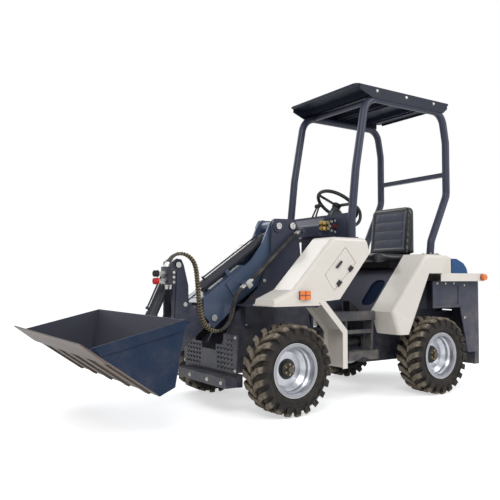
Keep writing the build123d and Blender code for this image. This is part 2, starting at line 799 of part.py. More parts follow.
# Bucket: bent sheet with end plates, cutting edge, wear strips and its carrier
bucket_outline = [(0, 0), (bucket_floor, 0), (bucket_floor, 17), bucket_back_top, bucket_back_low]


def bucket():
    plate_y = bucket_half - side_strip
    shell = slab(bucket_outline, -plate_y, plate_y, bucket_side)
    hollow = inset(bucket_outline, bucket_wall)
    reach = 80
    rise = 160
    back = (bucket_back_top[0] - bucket_back_low[0], bucket_back_top[1] - bucket_back_low[1])
    length = hypot(*back)
    crest = (bucket_back_top[0] + back[0] * rise / back[1] + bucket_wall * 1.1, bucket_back_top[1] + rise)
    inner = [hollow[0], (bucket_floor + reach, bucket_wall), (bucket_floor + reach, crest[1]), crest,
             hollow[4]]
    shell -= slab(inner, bucket_wall - plate_y, plate_y - bucket_wall, bucket_side)
    edge_root = bucket_floor - 110
    shell += slab([(edge_root, 0), (edge_root, -edge_plate), (bucket_lip, -edge_plate / 2), (bucket_lip, 0)],
                  -bucket_half, bucket_half, bucket_side)
    ux = back[0] / length
    uz = back[1] / length
    top_x, top_z = bucket_back_top
    tip = bucket_outline[2]
    cutter = [bucket_back_top, tip, (tip[0] - strip_width, 0),
              (top_x - ux * strip_width, top_z - uz * strip_width)]
    shell += both(slab(inset(cutter, -strip_inset), plate_y - 1, bucket_half, bucket_side))

    def beside_back(drop, out):
        return (top_x - ux * drop - uz * out, top_z - uz * drop + ux * out)

    flange = [beside_back(flange_deep, -strip_inset), beside_back(strip_inset, -strip_inset),
              beside_back(strip_inset, flange_out), beside_back(flange_deep, flange_out)]
    shell += slab(flange, -plate_y, plate_y, bucket_side)
    for share in (-0.8, -0.4, 0, 0.4, 0.8):
        y = share * bucket_half
        shell += slab([(10, 1), (10, -10), (edge_root - 5, -10), (edge_root - 5, 1)], y - strip_width / 2,
                      y + strip_width / 2, bucket_side)
    return shell


def tool_carrier():
    low = along_bucket(*bucket_back_low)
    top = along_bucket(*bucket_back_top)
    length = hypot(top[0] - low[0], top[1] - low[1])
    dx = (top[0] - low[0]) / length
    dz = (top[1] - low[1]) / length

    def beside(along, out):
        return (low[0] + dx * along - dz * out, low[1] + dz * along + dx * out)

    plate = slab([beside(25, seat_gap), beside(length - 25, seat_gap), beside(length - 25, 14),
                  beside(25, 14)],
                 -carrier_half, carrier_half)
    tx, tz = tool_pivot
    ux, uz = tilt_pin
    cheek = [beside(40, 8), beside(length - 50, 8), (ux + 8, uz + 38), (ux - 26, uz + 28), (ux - 38, uz - 4),
             (tx - 45, tz + 10), (tx - 40, tz - 26), (tx - 8, tz - 46)]
    carrier = plate + both(slab(cheek, carrier_inner, carrier_outer))
    carrier += cross_pin(tx, tz, pivot_pin_r - 3, -carrier_outer - 8, carrier_outer + 8)
    carrier += both(cross_pin(ux, uz, 30, carrier_outer - 1, carrier_outer + 8))
    return carrier


# Rear frame, its lugs, rails and axle stubs
def rear_chassis():
    low = lug_low + lug_plate + side_gap
    high = lug_high - lug_plate - side_gap
    rail_low = axle_z - axle_half_height + 5
    frame = block(steer_x, neck_wall - 5, -neck_half, neck_half, low, high)
    frame += upright_pin(steer_x, 0, lug_r, low, high)
    frame += upright_pin(steer_x, 0, steer_pin_r, lug_low - 12, lug_high + 12)
    rail = block(neck_wall, rear_end + seat_gap, rail_half - rail_plate, rail_half, rail_low, rear_rail_top)
    frame += both(rail)
    wall = block(neck_wall, neck_wall - 20, -rail_half, rail_half, rail_low, rear_rail_top)
    frame += wall - block(neck_wall + 1, neck_wall - 21, 100, 205, steer_z - 40, steer_z + 40)
    frame += block(rear_end + 20, rear_end + seat_gap, -rail_half, rail_half, rail_low, rear_rail_top)
    frame += block(neck_wall, rear_axle + 85, -rail_half, rail_half, rail_low, rail_low + 12)
    axle = block(rear_axle - axle_half_length, rear_axle + axle_half_length, rail_half - 2, motor_root,
                 axle_z - axle_half_height, axle_z + axle_half_height)
    frame += both(axle)
    base_x = steer_base[0]
    for z0 in (steer_z - steer_clear - steer_ear, steer_z + steer_clear):
        frame += block(base_x - 34, base_x + 30, steer_base[1] - 34, rail_half - 2, z0, z0 + steer_ear)
    frame += upright_pin(base_x, steer_base[1], steer_eye_pin_r, steer_z - steer_clear - 2,
                         steer_z + steer_clear + 2)
    beam_half = leg_inner - 12
    beam_top = platform_z - platform_plate - seat_gap
    for x0 in (platform_rear + 90, platform_rear - 15):
        frame += block(x0, x0 - 30, -beam_half, beam_half, beam_top - 58, beam_top)
    return frame + block(platform_rear + 130, neck_wall - 5, -60, 60, high - 9, beam_top - 50)


def steer_line():
    root = Vector(*steer_base, steer_z)
    tip = Vector(steer_x + steer_arm[0], steer_arm[1], steer_z)
    return root, tip, (tip - root).normalized()


def steer_barrel():
    root, tip, way = steer_line()
    length = (tip - root).length - steer_rod_show
    gland = 30
    half = steer_barrel_r
    body = bar(root + way * (steer_eye_r - 4), root + way * length, steer_barrel_r)
    body += upright_pin(root.X, root.Y, steer_eye_r, steer_z - half, steer_z + half)
    body -= upright_pin(root.X, root.Y, steer_eye_pin_r + run_fit, steer_z - half - 1, steer_z + half + 1)
    body -= bar(root + way * (steer_eye_r + 8), root + way * (length - gland),
                steer_barrel_r - steer_wall)
    return body - bar(root + way * (length - gland - 1), root + way * (length + 1),
                      steer_rod_r + run_fit)


def steer_rod():
    root, tip, way = steer_line()
    piston = 18
    half = steer_barrel_r
    rod = bar(root + way * steer_rod_start, tip, steer_rod_r)
    rod += bar(root + way * steer_rod_start, root + way * (steer_rod_start + piston),
               steer_barrel_r - steer_wall - run_fit)
    return rod + upright_pin(tip.X, tip.Y, steer_rod_r + 10, steer_z - half, steer_z + half)


# Operator's place: platform with steps, console, levers, pedals and seat
def operator_platform():
    low = platform_z - platform_plate
    deck = block(platform_front, platform_rear, -platform_half, platform_half, low, platform_z)
    deck += block(platform_rear + 1, seat_floor_rear, 10 - leg_inner, leg_inner - 10, low, platform_z)
    notch = make_face(Polyline((steer_x + 60, -215), (platform_front + 1, -325), (platform_front + 1, 325),
                               (steer_x + 60, 215), close=True))
    deck -= Pos(0, 0, low - 1) * extrude(notch, platform_plate + 2)
    skirt = slab([(platform_front, platform_z - step_skirt),
                  *toothed(platform_front, platform_rear, platform_z),
                  (platform_rear, platform_z - step_skirt)], platform_half - step_sheet, platform_half)
    front = platform_front - 110
    rear = platform_rear + 10
    middle = (front + rear) / 2
    tread = block(front, rear, step_inner, step_outer, step_z - step_sheet, step_z)
    under = step_z - step_skirt
    tread += slab([(front, under), *toothed(front, rear, step_z), (rear, under), (middle - 60, under),
                   (middle, under + 26),
                   (middle + 60, under)], step_outer - step_sheet, step_outer)
    hanger_outer = platform_half - 2
    hanger = 14
    tread += block(front - 10, front - 10 - hanger, step_inner, hanger_outer, step_z - 40, low + 2)
    tread += slab([(rear + 20, step_z - 40), (rear + 44, step_z - 40), (rear + 14, low + 2),
                   (rear - 2, low + 2)],
                  step_inner, hanger_outer)
    bar_z = (step_z + platform_z) / 2
    tread += block(front - 10, rear + 22, hanger_outer - step_sheet, hanger_outer, bar_z - 14, bar_z + 14)
    return deck + both(skirt + tread)


def console():
    post_top = 1190
    front = steer_x + 52.5
    rear = steer_x - 90
    post = block(front, rear, -pedestal_half, pedestal_half, platform_z + seat_gap, post_top)
    wall = 14
    post -= block(front - wall - 1, rear - 1, wall - pedestal_half, pedestal_half - wall, platform_z + 40,
                  post_top - 40)
    inner = post_half - post_r - seat_gap
    dash = block(dash_x - 8, dash_x + 8, -inner, inner, dash_low, dash_top)
    foot = block(dash_x - 40, dash_x + 40, post_half - post_r - 10, post_half + post_r, dash_low,
                 rops_foot_z - seat_gap)
    nose = dash_x + 170
    tail = dash_x - 110
    box_half = 200
    box = slab([(nose, post_top), (nose, dash_shelf - 60), (nose - 60, dash_shelf), (tail, dash_shelf),
                (tail, post_top)], -box_half,
               box_half, rounds={1: 24, 2: 24, 3: 18})
    body = post + dash + both(foot) + box
    tilt = radians(column_tilt)
    wx, wz = wheel_centre

    def column(drop):
        return (wx + drop * sin(tilt), 0, wz - drop * cos(tilt))

    body += bar(column(230), column(34), column_r)
    return body - bar(column(100), column(0), wheel_shaft_r + run_fit)


def steering_wheel():
    tilt = radians(column_tilt)
    wx, wz = wheel_centre
    place = Plane(origin=(wx, 0, wz), x_dir=(cos(tilt), 0, sin(tilt)), z_dir=(-sin(tilt), 0, cos(tilt)))
    ring = Torus(wheel_r, wheel_tube_r)
    hub = Pos(0, 0, -12) * Cylinder(wheel_hub_r, 30)
    shaft = Pos(0, 0, -27) * Cylinder(wheel_shaft_r, 60, align=(Align.CENTER, Align.CENTER, Align.MAX))
    wheel = ring + hub + shaft
    for turn in (90, 210, 330):
        spoke = Pos(wheel_r / 2, 0, -6) * Box(wheel_r, 26, 9)
        wheel += Rot(Z=turn) * spoke
    return place * wheel


def control_levers():
    levers = []
    foot = dash_shelf + seat_gap
    root = dash_x - 55
    for y, lean in ((-120, 45), (-170, 63)):
        lever = upright_pin(root, y, 15, foot, foot + 24)
        lever += bar((root, y, foot + 10), (root - lean, y, foot + 122), 7)
        levers.append(lever + Pos(root - lean, y, foot + 132) * Sphere(18))
    return levers[0] + levers[1]


def pedals():
    low = platform_z + seat_gap
    front = seat_front + pedal_gap + pedal_length
    half = 35
    pad = slab([(front, low), (front - pedal_length, low), (front - pedal_length, platform_z + 14),
                (front - 30, platform_z + 60),
                (front, platform_z + 76)], pedal_y - half, pedal_y + half)
    return both(pad)


def seat_base():
    low = platform_z + seat_gap
    front = seat_front
    crest = (rear_axle + 205, 940)
    rear = rear_axle - 140
    half = leg_inner - 8
    shelf = rear_axle + 275
    base = slab([(front, low), crest, (shelf, 960), (shelf, seat_base_top), (rear, seat_base_top),
                 (rear, low)], -half, half)
    slope = Plane((front, 0, low), x_dir=(0, 1, 0), z_dir=(crest[1] - low, 0, front - crest[0]))
    run = hypot(crest[0] - front, crest[1] - low)
    recess_half = 72
    recess = slope * Pos(half - recess_half - 34, run * 0.44, 0) * RectangleRounded(2 * recess_half,
                                                                                    run * 0.62, 58)
    base -= extrude(recess, -recess_depth) + extrude(recess, 1)
    inside = rear + 20
    hollow = [(front - 60, platform_z - 1), (crest[0] - 20, crest[1] - 10),
              (crest[0] - 20, seat_base_top - 30),
              (inside, seat_base_top - 30), (inside, platform_z - 1)]
    base -= slab(hollow, 20 - rail_half, rail_half - 20)
    stay_low = seat_base_top - 60
    stay = block(back_rear - seat_gap, back_rear - 13, 120, 160, stay_low, back_top - 150)
    link = block(rear + 1, back_rear - 14, 120, 160, stay_low, seat_base_top)
    foot = block(rear_axle + 5, rear_axle - 95, rail_half - rail_plate, rail_half, rear_rail_top + seat_gap,
                 platform_z + 10)
    rear_wall = block(rear + 19, rear + 1, -half, half, low, platform_z + 60)
    return base + rear_wall + both(stay + link + foot)


def seat_cushion():
    pad = block(rear_axle + 290, rear_axle - 115, -seat_half, seat_half, seat_base_top + seat_gap,
                cushion_top)
    return fillet(pad.edges().filter_by(Axis.Z), 50)


def seat_backrest():
    low = cushion_top + seat_gap
    front = rear_axle - 40
    half = seat_half - 10
    outline = [(front, low), (front - 43, back_top), (back_rear, back_top), (back_rear, low)]
    pad = slab(outline, -half, half)
    corners = [pad.edges().sort_by_distance(((front - 43 + back_rear) / 2, y, back_top))[0] for y in (-half,
                                                                                                      half)]
    return fillet(corners, 50)


# Roll-over frame of bent tube and its sheet roof
def rops_frame():
    foot_x = rear_axle - 155
    rear = rear_axle - 362
    waist = rail_z - 685
    points = [(dash_x, rops_foot_z), (dash_x, rops_foot_z + 122), (dash_x - 45, rops_foot_z + 512),
              (dash_x - 152, rail_z),
              (rear + 47, rail_z), (rear, rail_z - 245), (rear, waist), (foot_x - 13, deck_top + 115),
              (foot_x, deck_top + 12)]
    path = FilletPolyline(*[(x, post_half, z) for x, z in points], radius=[500, 400, 150, 120, 200, 150, 80])
    section = Plane(origin=path @ 0, z_dir=path % 0) * Circle(post_r)
    hoop = sweep(section, path=path)
    flange = 50
    foot = block(foot_x - flange, foot_x + flange, post_half - flange, post_half + flange,
                 deck_top + seat_gap, deck_top + 13)
    frame = both(hoop + foot)
    cross_z = waist + 175
    frame += block(rear + 18, rear - 18, -post_half, post_half, cross_z - 18, cross_z + 18)
    tie_x = dash_x - 260
    return frame + bar((tie_x, -post_half, rail_z), (tie_x, post_half, rail_z), post_r - 10)


def canopy_roof():
    under = canopy_top - canopy_sheet
    top = block(canopy_front, canopy_rear, -canopy_half, canopy_half, under, canopy_top)
    top = fillet(top.edges().filter_by(Axis.Z), canopy_corner)
    front = canopy_front - canopy_corner
    rear = canopy_rear + canopy_corner
    low = canopy_top - canopy_skirt
    skirt = [(front, under + 1), (rear, under + 1), (rear, low + 40), (rear + 50, low), (front - 130, low),
             (front, low + 50)]
    top += both(slab(skirt, canopy_half - canopy_sheet, canopy_half))
    lip_half = canopy_half - canopy_corner
    for x0, x1 in ((canopy_front, canopy_front - canopy_sheet), (canopy_rear, canopy_rear + canopy_sheet)):
        top += block(x0, x1, -lip_half, lip_half, canopy_top - canopy_lip, under + 1)
    rail_top = rail_z + post_r + seat_gap
    for share in (0.2, 0.5, 0.8):
        x = canopy_front + (canopy_rear - canopy_front) * share
        member = block(x - 30, x + 30, 1 - canopy_half, canopy_half - 1, rail_top, under + 1)
        top += member - block(x - 22, x + 22, 30 - post_half, post_half - 30, rail_top - 1, under - 6)
    return top


# Leg shields, rear deck, hood, side panels and bumper
leg_back = rear_axle - 15
leg_low = 465
leg_outline = [(leg_back, deck_top), (leg_back, ledge_high), (rear_axle + 100, ledge_high),
               (rear_axle + 330, leg_low),
               (rear_axle + 425, leg_low), (rear_axle + 489, 632), (rear_axle + 129, deck_top)]


def leg_form(points, y0, y1, ridge_r):
    return soften(slab(points, y0, y1), points, (4, 5, 6), y1, ridge_r)


def leg_shield(hand):
    shell = leg_form(leg_outline, leg_inner, leg_outer, leg_ridge_r)
    hollow = inset(leg_outline, leg_wall)
    hollow[0] = (leg_back - 1, hollow[0][1])
    hollow[1] = (leg_back - 1, hollow[1][1])
    hollow[3] = (hollow[3][0], leg_low - 1)
    hollow[4] = (hollow[4][0], leg_low - 1)
    shell -= leg_form(hollow, leg_inner + leg_wall, leg_outer - leg_wall, leg_ridge_r - leg_wall)
    strip_y = leg_outer - 64
    strip = [(rear_axle + 310, leg_low + 50), (rear_axle + 252, leg_low + 50),
             (rear_axle + 62, ledge_high - 40),
             (rear_axle + 115, ledge_high - 40)]
    shell += slab(strip, strip_y, strip_y + 2 * leg_wall)
    return shell if hand > 0 else mirror(shell, Plane.XZ)


def rear_cover():
    join = leg_back - seat_gap
    wide_rear = leg_back - 50
    narrow_front = leg_back - 40
    deck_rear = hood_front + 2 * side_gap
    wide = block(join, wide_rear, -leg_outer, leg_outer, ledge_high, deck_top)
    top_edges = wide.edges().filter_by(Axis.X).filter_by(lambda edge: edge.center().Z > deck_top - 1)
    wide = fillet(top_edges, leg_ridge_r)
    narrow = slab([(narrow_front, deck_top), (narrow_front, ledge_high), (deck_rear, ledge_high),
                   (deck_rear, deck_top - 20),
                   (deck_rear + 40, deck_top)], -hood_half, hood_half)
    top_edges = narrow.edges().filter_by(Axis.X).filter_by(lambda edge: edge.center().Z > deck_top - 1)
    narrow = fillet(top_edges, leg_ridge_r - leg_wall)
    ledge = block(leg_back - 20, rear_end, -ledge_outer, ledge_outer, ledge_low, ledge_high)
    ledge = fillet(ledge.edges().filter_by(Axis.Z).sort_by(Axis.X)[:2], leg_ridge_r)
    cover = wide + narrow + ledge
    inside = block(join + 1, narrow_front, leg_wall - leg_outer, leg_outer - leg_wall, ledge_low - 1,
                   deck_top - leg_wall)
    top_edges = inside.edges().filter_by(Axis.X).filter_by(lambda edge: edge.center().Z > ledge_high)
    cover -= fillet(top_edges, leg_ridge_r - leg_wall)
    cover -= block(narrow_front + 10, deck_rear + leg_wall, leg_wall - hood_half, hood_half - leg_wall,
                   ledge_low - 1,
                   deck_top - leg_wall - 20)
    cover -= block(narrow_front, rear_end + leg_ridge_r, leg_wall - ledge_outer, ledge_outer - leg_wall,
                   ledge_low - 1,
                   ledge_high - leg_wall)
    cover -= block(deck_rear - 30, hood_rear - 20, 40 - hood_half, hood_half - 40, ledge_low - 1,
                   ledge_high + 1)
    cover -= block(join + 1, leg_back - 150, 2 - leg_inner, leg_inner - 2, ledge_low - 1, deck_top + 1)
    ear = 10
    ear_r = hood_pin_r + 4
    for y in (knuckle_y - ear - 2, knuckle_y + knuckle_length + 2):
        root = block(hood_front, deck_rear + 2, y, y + ear, hood_hinge_z - ear_r, hood_hinge_z + ear_r)
        cover += both(root + cross_pin(hood_front, hood_hinge_z, ear_r, y, y + ear))
    pin_end = knuckle_y + knuckle_length + ear + 2
    return cover + both(cross_pin(hood_front, hood_hinge_z, hood_pin_r, knuckle_y - ear - 2, pin_end))


def engine_hood():
    low = ledge_high + seat_gap
    outline = [(hood_front, low), (hood_rear - 15, low), (hood_rear, hood_hinge_z - 75),
               (hood_rear + 40, hood_hinge_z - 35),
               (hood_front - 60, hood_hinge_z), (hood_front, hood_hinge_z)]
    lid = slab(outline, -hood_half, hood_half, rounds={2: 24, 3: 24, 4: 60})
    hollow = inset(outline, -hood_wall)
    hollow[0] = (hollow[0][0], ledge_high)
    hollow[1] = (hollow[1][0], ledge_high)
    inner_r = 24 - hood_wall
    lid -= slab(hollow, hood_wall - hood_half, hood_half - hood_wall,
                rounds={2: inner_r, 3: inner_r, 4: 60 - hood_wall})
    knuckle_r = hood_pin_r + 4
    end = knuckle_y + knuckle_length
    lid -= both(block(hood_front - 14, hood_front + 1, knuckle_y - 15, end + 15, hood_hinge_z - 14,
                      hood_hinge_z + 1))
    knuckle = block(hood_front, hood_front - 16, knuckle_y, end, hood_hinge_z - knuckle_r, hood_hinge_z)
    knuckle += cross_pin(hood_front, hood_hinge_z, knuckle_r, knuckle_y, end)
    lid += both(knuckle)
    return lid - both(cross_pin(hood_front, hood_hinge_z, hood_pin_r + run_fit, knuckle_y - 1, end + 1))


def rear_panels():
    inner = panel_half - panel_sheet
    front = rear_axle - 29
    corner_x = rear_axle - 355
    arch_z = ledge_low - 209
    body = block(front, rear_end - panel_sheet, -panel_half, panel_half, panel_low, ledge_low - seat_gap)
    body = fillet(body.edges().filter_by(Axis.Z).sort_by(Axis.X)[:2], panel_corner)
    inside = block(front + 1, rear_end - seat_gap, -inner, inner, panel_low - 1, ledge_low)
    body -= fillet(inside.edges().filter_by(Axis.Z).sort_by(Axis.X)[:2], panel_corner - panel_sheet)
    arch = [(front + 14, panel_low - 1), (corner_x - 87, panel_low - 1), (corner_x, arch_z - 4),
            (corner_x, arch_z),
            (front + 14, arch_z)]
    body -= slab(arch, -panel_half - 1, panel_half + 1)
    relief = [(front - 22, arch_z + 26), (corner_x + 22, arch_z + 26), (corner_x + 22, ledge_low - 34),
              (front - 22, ledge_low - 34)]
    body -= both(slab(relief, panel_half - panel_relief, panel_half + 1))
    for i in range(slot_count):
        z = panel_low + 110 + i * slot_pitch
        body -= block(rear_end - panel_sheet - 1, rear_end + 1, -220, 220, z, z + slot_height)
    return body


def rear_lamps():
    x = rear_end + 40
    z = (ledge_low + ledge_high) / 2
    lens_r = 30
    lamp = cross_pin(x, z, lens_r, ledge_outer + seat_gap, ledge_outer + 12)
    lamp += cross_pin(x, z, lens_r - 5, ledge_outer + 11, ledge_outer + 34)
    return both(fillet(lamp.faces().sort_by(Axis.Y)[-1].edges(), 6))


def engine_block():
    rear = rear_end + 85
    front = rear + 340
    half = 190
    body = block(front, rear, -half, half, axle_z - axle_half_height + 5, ledge_low - 53)
    for x in (front - 60, rear + 60):
        body += both(block(x - 30, x + 30, half - 2, rail_half - rail_plate - seat_gap, 400, 440))
    return body


def rear_bumper():
    front = rear_end - panel_sheet - seat_gap
    rear = bumper_end + 60
    beam = block(front, rear, -bumper_half, bumper_half, 165, 300)
    beam = fillet(beam.edges().filter_by(Axis.Z).sort_by(Axis.X)[:2], 30)
    for z0 in (170, 250):
        jaw = block(rear + 2, bumper_end, -jaw_half, jaw_half, z0, z0 + 20)
        jaw = fillet(jaw.edges().filter_by(Axis.Z).sort_by(Axis.X)[:2], 24)
        beam += jaw - upright_pin(bumper_end + 32, 0, tow_bore_r, z0 - 1, z0 + 21)
    arm_top = axle_z - axle_half_height + 5 - seat_gap
    arm = block(rear_end + 30, front - 2, 120, 160, 170, arm_top)
    return beam + both(arm)


parts = {
    "front_chassis": front_chassis(),
    "front_guard": front_guard(),
    "front_cover_left": front_cover(1),
    "front_cover_right": front_cover(-1),
    "front_hatch_left": front_hatch(1),
    "front_hatch_right": front_hatch(-1),
    "front_lamps": front_lamps(),
    "front_wheel_motors": wheel_motors(0),
    "outer_boom": outer_boom(),
    "inner_boom": inner_boom(),
    "extend_cylinder_barrel": extend_barrel(),
    "extend_cylinder_rod": extend_rod(),
    "lift_cylinder_barrel": lift_barrel(),
    "lift_cylinder_rod": lift_rod(),
    "tilt_cylinder_barrel": tilt_barrel(),
    "tilt_cylinder_rod": tilt_rod(),
    "hydraulic_couplers": hydraulic_couplers(),
    "bucket": bucket(),
    "tool_carrier": tool_carrier(),
    "rear_chassis": rear_chassis(),
    "steer_cylinder_barrel": steer_barrel(),
    "steer_cylinder_rod": steer_rod(),
    "operator_platform": operator_platform(),
    "console": console(),
    "steering_wheel": steering_wheel(),
    "control_levers": control_levers(),
    "pedals": pedals(),
    "seat_base": seat_base(),
    "seat_cushion": seat_cushion(),
    "seat_backrest": seat_backrest(),
    "rops_frame": rops_frame(),
    "canopy_roof": canopy_roof(),
    "leg_shield_left": leg_shield(1),
    "leg_shield_right": leg_shield(-1),
    "rear_cover": rear_cover(),
    "engine_hood": engine_hood(),
    "rear_panels": rear_panels(),
    "rear_lamps": rear_lamps(),
    "engine_block": engine_block(),
    "rear_bumper": rear_bumper(),
    "rear_wheel_motors": wheel_motors(rear_axle),
    "tower_hose_inner": cord("tower_hose_inner", tower_hose, hose_r),
    "tower_hose_outer": cord("tower_hose_outer", beside_hose(tower_hose), hose_r),
    "loop_hose_inner": cord("loop_hose_inner", loop_hose, hose_r),
    "loop_hose_outer": cord("loop_hose_outer", beside_hose(loop_hose), hose_r),
}
for end, axle_x in (("front", 0), ("rear", rear_axle)):
    for name, hand in (("left", 1), ("right", -1)):
        parts["tyre_%s_%s" % (end, name)] = tyre(axle_x, hand)
        parts["rim_%s_%s" % (end, name)] = rim(axle_x, hand)

os.makedirs("parts", exist_ok=True)
for name, shape in parts.items():
    export_step(Pos(-centre_x, 0, 0) * shape, "parts/%s.step" % name)
print("shift", -centre_x, "nodes", len(parts))
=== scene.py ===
import bpy
import json
import math
from mathutils import Matrix, Vector


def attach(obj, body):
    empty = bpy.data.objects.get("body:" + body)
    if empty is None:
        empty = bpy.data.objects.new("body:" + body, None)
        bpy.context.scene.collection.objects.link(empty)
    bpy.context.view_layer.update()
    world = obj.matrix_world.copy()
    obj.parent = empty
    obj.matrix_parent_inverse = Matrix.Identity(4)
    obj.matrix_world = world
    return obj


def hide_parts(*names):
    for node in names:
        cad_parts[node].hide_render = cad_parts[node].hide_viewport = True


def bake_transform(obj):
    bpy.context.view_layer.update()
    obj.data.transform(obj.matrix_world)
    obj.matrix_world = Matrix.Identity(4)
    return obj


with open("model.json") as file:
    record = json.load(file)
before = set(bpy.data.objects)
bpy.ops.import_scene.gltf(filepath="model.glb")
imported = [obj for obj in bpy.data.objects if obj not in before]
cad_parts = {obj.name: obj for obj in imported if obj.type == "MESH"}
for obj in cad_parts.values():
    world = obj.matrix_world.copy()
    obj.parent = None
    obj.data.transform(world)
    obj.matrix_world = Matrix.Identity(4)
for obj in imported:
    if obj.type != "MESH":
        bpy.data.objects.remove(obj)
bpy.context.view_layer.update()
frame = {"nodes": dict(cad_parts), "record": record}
scene = bpy.context.scene
scene.view_settings.view_transform = "Standard"
shiftX = 0.354515  # from the front axle to the middle of the box
print("frame loaded")


def colour(tone):
    return (*tone, 1)


# one socket of a material, with maths
class Wire:
    def __init__(self, tree, socket=None):
        self.tree = tree
        self.socket = socket

    def node(self, kind, settings, inputs, output=0):
        made = self.tree.nodes.new(kind)
        for key, value in settings.items():
            setattr(made, key, value)
        for key, value in inputs.items():
            if isinstance(value, Wire):
                self.tree.links.new(value.socket, made.inputs[key])
            else:
                made.inputs[key].default_value = value
        return Wire(self.tree, made.outputs[output])

    def maths(self, operation, first, second=0.0, clamp=False):
        return self.node("ShaderNodeMath", {"operation": operation, "use_clamp": clamp}, {0: first, 1: second})

    def __add__(self, other):
        return self.maths("ADD", self, other)

    def __radd__(self, other):
        return self.maths("ADD", other, self)

    def __sub__(self, other):
        return self.maths("SUBTRACT", self, other)

    def __rsub__(self, other):
        return self.maths("SUBTRACT", other, self)

    def __mul__(self, other):
        return self.maths("MULTIPLY", self, other)

    def clipped(self):
        return self.maths("ADD", self, 0.0, True)

    def size(self):
        return self.maths("ABSOLUTE", self)

    def sine(self):
        return self.maths("SINE", self)

    def ramp(self, low, high):
        return self.node("ShaderNodeMapRange", {"clamp": True}, {0: self, 1: low, 2: high, 3: 0.0, 4: 1.0})

    def band(self, low, high, soft):
        return self.ramp(low - soft, low) * (1.0 - self.ramp(high, high + soft))

    def noise(self, scale, detail=3.0, rough=0.55):
        return self.node("ShaderNodeTexNoise", {}, {"Vector": self, "Scale": scale, "Detail": detail,
                                                    "Roughness": rough})

    def stretched(self, scale):
        return self.node("ShaderNodeMapping", {}, {"Vector": self, "Scale": scale})

    def axis(self, index):
        return self.node("ShaderNodeSeparateXYZ", {}, {0: self}, index)

    def mixed(self, first, second):  # each a wire or a plain tone
        first, second = [tone if isinstance(tone, Wire) else colour(tone) for tone in (first, second)]
        return self.node("ShaderNodeMix", {"data_type": "RGBA"}, {0: self, 6: first, 7: second}, 2)

    def bump(self, strength, distance):
        return self.node("ShaderNodeBump", {}, {"Strength": strength, "Distance": distance, "Height": self})

    def reach(self, x, z):  # distance from a cross axle
        along = self.axis(0) - x
        above = self.axis(2) - z
        return self.maths("SQRT", along * along + above * above)

    def slope(self, x, z, dx, dz):  # distance along a line in the side view
        return (self.axis(0) - x) * dx + (self.axis(2) - z) * dz


# a new finish, the object's coordinates in it, and a way to join a wire to its shader
def newFinish(name, shader):
    finish = bpy.data.materials.new(name)
    finish.use_nodes = True
    tree = finish.node_tree
    surface = tree.nodes["Principled BSDF"]
    for key, value in shader.items():
        surface.inputs[key].default_value = value
    place = Wire(tree).node("ShaderNodeTexCoord", {}, {}, 3)

    def join(key, wire):
        tree.links.new(wire.socket, surface.inputs[key])

    return finish, place, join


# in these looks a noise is (scale, detail, roughness), a bump (strength, distance) and a pair of numbers a ramp
dustTone = (0.30, 0.25, 0.19)
hatchLook = {"side": (0.6004, 0.6008), "trim": (0.022, 0.022, 0.025)}


# black hinges and latch stand out past the cover's side
def hatchTrim(place, shade):
    return place.axis(1).size().ramp(*hatchLook["side"]).mixed(shade, hatchLook["trim"])


recessLook = {
    "slope": (-0.920 + shiftX, 0.6303, 0.766, 0.643),
    # the depth band and tone paint shade into the recessed oval
    "depth": (-0.0200, -0.0040, 0.0010), "half": (0.311, 0.312), "tone": (0.006, 0.013, 0.034),
    "top": (0.941, 0.944), "topTone": (0.008, 0.008, 0.009),
}


# painted shade darkens the recessed oval in the seat base, and the top of the base is black
def recessShadeAndTop(place, shade):
    look = recessLook
    inside = 1.0 - place.axis(1).size().ramp(*look["half"])
    # painted shade in the recessed oval
    shadedOval = place.slope(*look["slope"]).band(*look["depth"]) * inside
    return place.axis(2).ramp(*look["top"]).mixed(shadedOval.mixed(shade, look["tone"]), look["topTone"])


bucketLook = {
    "heel": (0.986 + shiftX, 0.250), "curl": math.radians(35),
    "scratchStretch": (6.0, 90.0, 6.0), "scratch": (1.0, 5.0, 0.7),
    "lip": (0.46, 0.531), "lipThick": (0.004, 0.012), "bare": (0.35, 0.62), "bareShare": 0.5,
    "floorThick": (0.010, 0.020), "scuffed": (0.60, 0.78), "scuffShare": 0.35, "steel": (0.24, 0.22, 0.20),
    "side": (0.686, 0.688), "aboveFloor": (0.006, 0.010), "inside": (0.070, 0.072, 0.092),
    # the tan underside is painted bounce light from the ground, mixed with dirt
    "below": (0.0, 0.002), "bounceAndDirtShare": 0.55, "under": (0.26, 0.19, 0.13),
}


# bare steel along the cutting edge, faint scuffs on the floor, a paler inside and a tan underside of dirt and painted
# bounce light from the ground
def bucketWearAndBounce(place, shade):
    look = bucketLook
    ahead, rise = math.cos(look["curl"]), math.sin(look["curl"])
    along = place.slope(*look["heel"], ahead, rise)
    above = place.slope(*look["heel"], -rise, ahead)
    scratch = place.stretched(look["scratchStretch"]).noise(*look["scratch"])
    edge = along.ramp(*look["lip"]) * (1.0 - above.ramp(*look["lipThick"])) * scratch.ramp(*look["bare"])
    floor = (1.0 - above.ramp(*look["floorThick"])) * scratch.ramp(*look["scuffed"]) * look["scuffShare"]
    within = (1.0 - place.axis(1).size().ramp(*look["side"])) * above.ramp(*look["aboveFloor"])
    # painted ground bounce light and dirt on the underside
    under = (1.0 - above.ramp(*look["below"])) * look["bounceAndDirtShare"]
    toned = under.mixed(within.mixed(shade, look["inside"]), look["under"])
    return (edge * look["bareShare"] + floor).clipped().mixed(toned, look["steel"])


treadLook = {"pitch": 0.028, "raised": (0.25, 0.55), "top": (0.626, 0.629)}


# raised lozenges of a tread plate
def lozenges(place):
    wave = 2 * math.pi / treadLook["pitch"]
    first = ((place.axis(0) + place.axis(1)) * wave).sine()
    second = ((place.axis(0) - place.axis(1)) * wave).sine()
    return (first * second).ramp(*treadLook["raised"]) * place.axis(2).ramp(*treadLook["top"])


